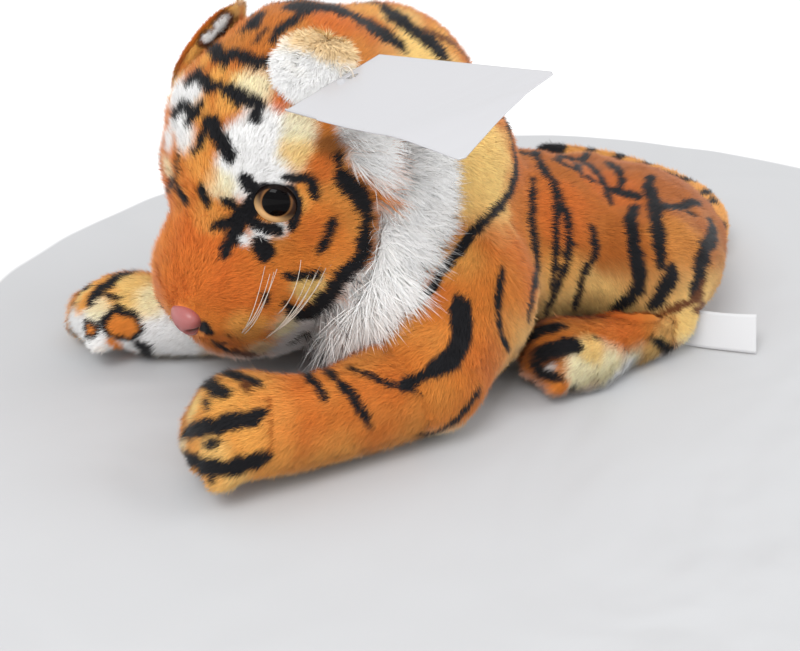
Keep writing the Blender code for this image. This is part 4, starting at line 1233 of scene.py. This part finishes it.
def makeEye(side):
    foot, normal = headSkin.at(*faceLook["eye"])
    washer = Vector(nodePoints("eye_washer_left").mean(0))
    stem = (Vector(nodePoints("eye_left").mean(0)) - washer).normalized()
    outward = (normal * 0.5 + stem * 0.5).normalized()
    outward = (outward - headTurn @ Vector((0, 0, eyeLook["sleepy"]))).normalized()
    foot = foot + outward * eyeLook["proud"] * mm
    if side == "right":
        foot, outward = acrossHead(foot), acrossHead(foot + outward) - acrossHead(foot)
    turn = facingFrame(outward.normalized())
    radius = eyeLook["radius"]
    shape = bmesh.new()
    edge = [shape.verts.new((0, 0, eyeLook["foot"]))]
    edge.append(shape.verts.new((radius, 0, eyeLook["foot"])))
    for step in range(eyeLook["rings"] + 1):
        bend = math.pi / 2 * step / eyeLook["rings"]
        edge.append(shape.verts.new((radius * math.cos(bend), 0, eyeLook["dome"] * math.sin(bend))))
    lines = [shape.edges.new(pair) for pair in zip(edge, edge[1:])]
    bmesh.ops.spin(shape, geom=edge + lines, cent=(0, 0, 0), axis=(0, 0, 1), angle=2 * math.pi,
                   steps=eyeLook["turns"], use_merge=True)
    bmesh.ops.remove_doubles(shape, verts=shape.verts, dist=1e-4)
    tint = shape.verts.layers.float_color.new("coat")
    # before the button is placed, z is outward, y to its left and x down its face
    mirrored = 1 if side == "left" else -1
    for vert in shape.verts:
        down, left = vert.co.x / radius, vert.co.y / radius
        share = math.hypot(down, left)
        gaze = math.hypot(down + eyeLook["gaze"][0], left * mirrored - eyeLook["gaze"][1])
        # painted light: the ring turns amber towards its lit lower side and keeps the painted shadow colour
        # above
        lit = (left * mirrored * eyeLook["light"][0] + down * eyeLook["light"][1]) / max(share, 0.01)
        pupil, rim = eyeLook["pupilShare"], eyeLook["rimShare"]
        colour = eyeColours["shadow"]
        for name, part in (("amber", smoothStep(-0.3, 0.9, lit)),
                           ("inner", smoothStep(pupil + 0.14, pupil, gaze) * 0.7),
                           ("pupil", smoothStep(pupil + 0.02, pupil - 0.02, gaze)),
                           ("rim", smoothStep(rim - 0.03, rim + 0.02, share))):
            colour = colour + (eyeColours[name] - colour) * part
        vert[tint] = (*colour, 1)
    outward, left, up = turn.col
    place = Matrix((-up, left, outward)).transposed().to_4x4() @ Matrix.Scale(mm, 4)
    place.translation = foot
    bmesh.ops.transform(shape, matrix=place, verts=shape.verts)
    bmesh.ops.recalc_face_normals(shape, faces=shape.faces)
    for face in shape.faces:
        face.smooth = True
    if side == "left":
        hit, bend = BVHTree.FromBMesh(shape).ray_cast(eyePoint, pixelRay(*eyeLook["glint"]))[:2]
        if hit is not None:
            back = (eyePoint - hit).normalized()
            glintAims.append((hit, bend * 2 * bend.dot(back) - back))
    finishPiece(newPiece("eyeButton" + side.title(), shape), eyeGlass, "head", "eye_amber", "eye_" + side)


eyeGlass = paintedMaterial("eyeGlass", {"Roughness": 0.06, "Specular IOR Level": 0.08})
for side in ("left", "right"):
    makeEye(side)
print("eyes done")

# Nose: soft pink plastic with two nostrils and a groove between them
noseLook = {
    "size": (6.0, 11.5, 8.2), "nostril": (5.2, -1.6), "nostrilSize": 2.6, "nostrilDepth": 2.6,
    "sink": 1.3, "groove": 0.7, "taper": 0.50, "pink": shade(162, 94, 92), "dark": shade(56, 20, 18),
}


def makeNose():
    washer = Vector(nodePoints("nose_washer").mean(0))
    outward = (Vector(nodePoints("nose").mean(0)) - washer).normalized()
    turn = facingFrame(outward)
    seat = headSkin.at(*faceLook["nose"])[0] - outward * noseLook["sink"] * mm
    shape = bmesh.new()
    bmesh.ops.create_uvsphere(shape, u_segments=96, v_segments=64, radius=1)
    tint = shape.verts.layers.float_color.new("coat")
    deep, wide, tall = noseLook["size"]
    for vert in shape.verts:
        x, y, z = vert.co
        narrow = 1 - noseLook["taper"] * (1 - z) / 2 * (1.2 - 0.4 * z)
        vert.co = Vector((x * deep, y * wide * narrow, z * tall))
        # painted shade: the nostril hollows are darkened towards the dark colour
        dark = 0.0
        for side in (1, -1):
            gap = math.hypot((vert.co.y - side * noseLook["nostril"][0]) * 0.85,
                             vert.co.z - noseLook["nostril"][1])
            sink = float(smoothStep(1.0, 0.35, gap / noseLook["nostrilSize"])) * (x > 0)
            vert.co.x -= noseLook["nostrilDepth"] * sink
            dark = max(dark, sink)
        groove = math.exp(-(vert.co.y / 0.9) ** 2) * (x > 0) * (z < 0.3)
        vert.co.x -= noseLook["groove"] * groove
        vert[tint] = (*(noseLook["pink"] + (noseLook["dark"] - noseLook["pink"]) * dark), 1)
    place = turn.to_4x4()
    place.translation = seat
    bmesh.ops.scale(shape, vec=(mm, mm, mm), verts=shape.verts)
    bmesh.ops.transform(shape, matrix=place, verts=shape.verts)
    for face in shape.faces:
        face.smooth = True
    material = paintedMaterial("nosePink", {
        "Roughness": 0.38, "Subsurface Weight": 0.08, "Subsurface Scale": 0.002})
    finishPiece(newPiece("noseButton", shape), material, "head", "nose_pink", "nose")


makeNose()
print("nose done")

# Whiskers: a tuft of clear strands from each side of the lip, tips as the photograph shows them
whiskerLook = {"thickness": 0.30, "tipShare": 0.35, "bend": 9.0, "proud": 1.0, "points": 9}
# Root and tip in the photograph, and how far the tip stands nearer than the root, in millimetres
whiskerStrands = [
    ((242, 331), (265, 266), 12), ((243, 330), (277, 269), 12), ((244, 332), (274, 272), 13),
    ((243, 328), (270, 274), 12), ((263, 338), (310, 271), 18), ((265, 336), (321, 263), 19),
    ((266, 335), (316, 272), 18), ((268, 333), (339, 249), 18), ((267, 334), (326, 268), 20),
    ((277, 313), (301, 260), 16),
]


def makeWhiskers(side):
    piece = newStrands("whiskerStrands" + side.title(), whiskerLook["thickness"] * mm, 2)
    for root, tip, nearer in whiskerStrands:
        start, normal = headSkin.at(*root)
        ray = pixelRay(*tip)
        end = eyePoint + ray * ((start - eyePoint).dot(ray) - nearer * mm)
        start = start + normal * whiskerLook["proud"] * mm
        middle = (start + end) / 2 + normal * whiskerLook["bend"] * mm
        if side == "right":
            start, middle, end = (acrossHead(point) for point in (start, middle, end))
        spline = piece.data.splines.new("POLY")
        spline.points.add(whiskerLook["points"] - 1)
        for index, point in enumerate(spline.points):
            t = index / (whiskerLook["points"] - 1)
            point.co = (*(start * (1 - t) ** 2 + middle * 2 * t * (1 - t) + end * t * t), 1)
            point.radius = 1 - (1 - whiskerLook["tipShare"]) * t
    finishPiece(piece, clearNylon, "head", "nylon_clear", "whiskers_" + side)


clearNylon = newMaterial("clearNylon", {
    "Base Color": (0.78, 0.70, 0.60, 1), "Roughness": 0.25, "Transmission Weight": 0.35})[0]
for side in ("left", "right"):
    makeWhiskers(side)
for name in ("eye_washer_left", "eye_washer_right", "nose_washer"):
    nodes[name].data.materials.clear()
    nodes[name].data.materials.append(clearNylon)
print("whiskers done")

# Card tag: blank, curled, with a slot near the edge it hangs by and one corner turned down
cardLook = {
    "heading": -61.0, "across": 107, "along": 168, "thickness": 0.45, "corner": 8.0, "cornerReach": 0.20,
    "shift": -16.0, "drop": 2.0, "shade": 0.48, "farLift": 9.0, "slot": (3.8, 0.62),
    "slotSize": (1.5, 2.8), "ringSize": 3.4, "ringWire": 0.35, "ringOut": 0.6, "ringPoints": 40,
    "round": 2.6, "inset": 0.95,
}


def makeCard():
    points = nodePoints("swing_tag")
    turn = math.radians(cardLook["heading"])
    along = Vector((math.cos(turn), math.sin(turn), 0))
    across = Vector((-along.y, along.x, 0))
    runs, asides = points @ np.array(along), points @ np.array(across)
    hinge = next(entry for entry in frame["joints"] if entry["child"] == "swing_tag")
    shift = -Vector(hinge["axis"]) * cardLook["shift"] * mm
    tree = BVHTree.FromPolygons([vert.co for vert in nodes["swing_tag"].data.vertices],
                                [tuple(face.vertices) for face in nodes["swing_tag"].data.polygons])
    shape = bmesh.new()
    bmesh.ops.create_grid(shape, x_segments=cardLook["along"], y_segments=cardLook["across"], size=1)
    for vert in shape.verts:
        u, v = (vert.co.x + 1) / 2, (vert.co.y + 1) / 2
        run = runs.min() + (runs.max() - runs.min()) * u
        aside = asides.min() + (asides.max() - asides.min()) * v
        spot = along * run + across * aside
        # the height is read a little inside the edge, where the solid's top is sure to be met
        inner = along * (runs.mean() + (run - runs.mean()) * cardLook["inset"])
        inner += across * (asides.mean() + (aside - asides.mean()) * cardLook["inset"])
        hit = tree.ray_cast(Vector((inner.x, inner.y, 1)), Vector((0, 0, -1)))[0]
        hit = hit or tree.find_nearest(Vector((spot.x, spot.y, 0.2)))[0]
        bent = max(0, 1 - (1 - u + v * 0.55) / cardLook["cornerReach"] / 2) ** 1.5
        height = hit.z + (cardLook["farLift"] * u * v - cardLook["corner"] * bent - cardLook["drop"]) * mm
        vert.co = Vector((spot.x, spot.y, height)) + shift
    width = asides.max() - asides.min()
    slotRun = runs.min() + cardLook["slot"][0] * mm + shift.dot(along)
    slotAside = asides.min() + width * cardLook["slot"][1] + shift.dot(across)
    deep, wide = (size * mm for size in cardLook["slotSize"])
    cut, heights = [], []
    for face in shape.faces:
        middle = face.calc_center_median()
        gap = math.hypot((middle.dot(along) - slotRun) / deep, (middle.dot(across) - slotAside) / wide)
        if gap < 1:
            cut.append(face)
            heights.append(middle.z)
        toEnd = runs.max() + shift.dot(along) - middle.dot(along)
        toSide = width / 2 - abs(middle.dot(across) - shift.dot(across) - asides.min() - width / 2)
        bend = cardLook["round"] * mm
        if toEnd < bend and toSide < bend and math.hypot(bend - toEnd, bend - toSide) > bend:
            cut.append(face)
    bmesh.ops.delete(shape, geom=cut, context="FACES")
    slot = along * slotRun + across * slotAside + Vector((0, 0, sum(heights) / len(heights)))
    piece = newPiece("cardTag", shape)
    thicken(piece, cardLook["thickness"] * mm)
    tint = (*[cardLook["shade"]] * 2, cardLook["shade"] * 1.04, 1)
    material = newMaterial("whiteCard", {"Base Color": tint, "Roughness": 0.32, "Coat Weight": 0.25})[0]
    finishPiece(piece, material, "swing_tag", "card_white", "swing_tag")
    makeRing(slot, along)


def makeRing(slot, along):
    # The nylon ring runs through the card's slot and round its edge into the ear's pile
    piece = newStrands("tagRing", cardLook["ringWire"] * mm, 3)
    radius = cardLook["ringSize"] * mm
    middle = slot - along * (radius - cardLook["ringOut"] * mm)
    spline = piece.data.splines.new("POLY")
    spline.points.add(cardLook["ringPoints"] - 1)
    spline.use_cyclic_u = True
    for index, point in enumerate(spline.points):
        turn = 2 * math.pi * index / cardLook["ringPoints"]
        point.co = (*(middle + (along * math.cos(turn) + Vector((0, 0, math.sin(turn)))) * radius), 1)
    finishPiece(piece, clearNylon, "head", "nylon_clear", "tag_loop")


makeCard()
print("card tag done")

# Woven strip label sewn into the haunch, standing on its edge
labelLook = {"size": (56, 18), "root": (47.0, -41.0), "bend": (58.0, -68.0), "end": (90.3, -81.1),
             "curl": 3.0, "low": 0.9, "lean": 22, "thickness": 0.35}


def makeLabel():
    length, tall = labelLook["size"]
    start, bend, end = (Vector((*labelLook[key], 0)) for key in ("root", "bend", "end"))
    aside = Vector((sight.x, sight.y, 0)).normalized()
    lean = math.radians(labelLook["lean"])
    rise = aside * math.sin(lean) + Vector((0, 0, math.cos(lean)))
    shape = bmesh.new()
    bmesh.ops.create_grid(shape, x_segments=48, y_segments=12, size=1)
    for vert in shape.verts:
        u, v = (vert.co.x + 1) / 2, (vert.co.y + 1) / 2
        course = start * (1 - u) ** 2 + bend * 2 * u * (1 - u) + end * u * u
        wave = -aside * labelLook["curl"] * (u > 0.7) * (u - 0.7) ** 2 * 8 * (1 - v)
        vert.co = (course + wave + rise * tall * v + Vector((0, 0, labelLook["low"]))) * mm
    piece = newPiece("stripLabel", shape)
    thicken(piece, labelLook["thickness"] * mm)
    material, tree, shader = newMaterial("wovenWhite", {"Base Color": (0.62, 0.62, 0.63, 1), "Roughness": 0.7})
    weave = addNode(tree, "TexWave", {"Scale": 700})
    weave.bands_direction = "Z"
    bump = addNode(tree, "Bump", {"Strength": 0.15, "Distance": 0.0002})
    wire(tree, (addNode(tree, "TexCoord"), "Object", weave, "Vector"), (weave, "Fac", bump, "Height"),
         (bump, "Normal", shader, "Normal"))
    finishPiece(piece, material, "body", "label_white", "sewn_label")


makeLabel()
print("label done")

# Lights, floor and backdrop: a round pale cloth on a white ground, its middle and radius in millimetres
stageLook = {
    "floor": shade(186, 187, 189), "beyond": shade(250, 250, 251), "cloth": (-5, -70, 306),
    "clothWave": 0.02, "clothEdge": 0.002, "world": 0.92, "lampAim": (-0.03, 0, 0.06),
    "glintSize": 0.02, "glintPower": 0.7, "glintReach": 0.8,
}
# Name, place, size and power of the soft lamps
softLamps = [("keyLamp", (-1.1, -1.0, 1.9), 1.1, 32.0), ("fillLamp", (1.6, -0.7, 1.3), 1.2, 12.0)]


def floorMaterial():
    material, tree, shader = newMaterial("paleFloor", {"Roughness": 0.9})
    place = addNode(tree, "TexCoord")
    folds = addNode(tree, "TexNoise", {"Scale": 7, "Distortion": 1.2})
    bump = addNode(tree, "Bump", {"Strength": 0.5, "Distance": 0.012})
    wire(tree, (place, "Object", folds, "Vector"), (folds, "Fac", bump, "Height"),
         (bump, "Normal", shader, "Normal"))
    # the cloth ends where the waved distance from its middle passes its radius
    centreX, centreY, reach = (part * mm for part in stageLook["cloth"])
    wave, edge = stageLook["clothWave"], stageLook["clothEdge"]
    wobble = addNode(tree, "TexNoise", {"Scale": 9})
    waved = addNode(tree, "VectorMath", {1: (wave, wave, 0)})
    waved.operation = "MULTIPLY_ADD"
    gap = addNode(tree, "VectorMath", {1: (centreX + wave / 2, centreY + wave / 2, 0)})
    gap.operation = "DISTANCE"
    depth = addNode(tree, "MapRange", {"From Min": reach - edge, "From Max": reach + edge})
    tone = addNode(tree, "Mix")
    tone.data_type = "RGBA"
    tone.inputs["A"].default_value = (*stageLook["floor"], 1)
    tone.inputs["B"].default_value = (*stageLook["beyond"], 1)
    wire(tree, (place, "Object", wobble, "Vector"), (wobble, "Color", waved, 0), (place, "Object", waved, 2),
         (waved, "Vector", gap, 0), (gap, "Value", depth, "Value"), (depth, "Result", tone, "Factor"),
         (tone, "Result", shader, "Base Color"))
    return material


def addLamp(name, kind, place, power):
    lamp = bpy.data.lights.new(name, kind)
    lamp.energy = power
    holder = addObject(name, lamp)
    holder.location = place
    return holder


def makeStage():
    shape = bmesh.new()
    bmesh.ops.create_grid(shape, x_segments=1, y_segments=1, size=4)
    floor = newPiece("studioFloor", shape)
    floor.data.materials.append(floorMaterial())
    world = bpy.data.worlds.new("softStudio")
    bpy.context.scene.world = world
    world.use_nodes = True
    sky = world.node_tree.nodes["Background"]
    sky.inputs["Color"].default_value = (1, 1, 1, 1)
    sky.inputs["Strength"].default_value = stageLook["world"]
    for name, place, size, power in softLamps:
        holder = addLamp(name, "AREA", place, power)
        holder.data.size = size
        run = Vector(stageLook["lampAim"]) - Vector(place)
        holder.rotation_euler = run.to_track_quat("-Z", "Y").to_euler()
    for place, aim in glintAims:
        holder = addLamp("glintLamp", "POINT", place + aim * stageLook["glintReach"], stageLook["glintPower"])
        holder.data.shadow_soft_size = stageLook["glintSize"]
    bpy.context.scene.view_settings.view_transform = "Standard"


makeStage()
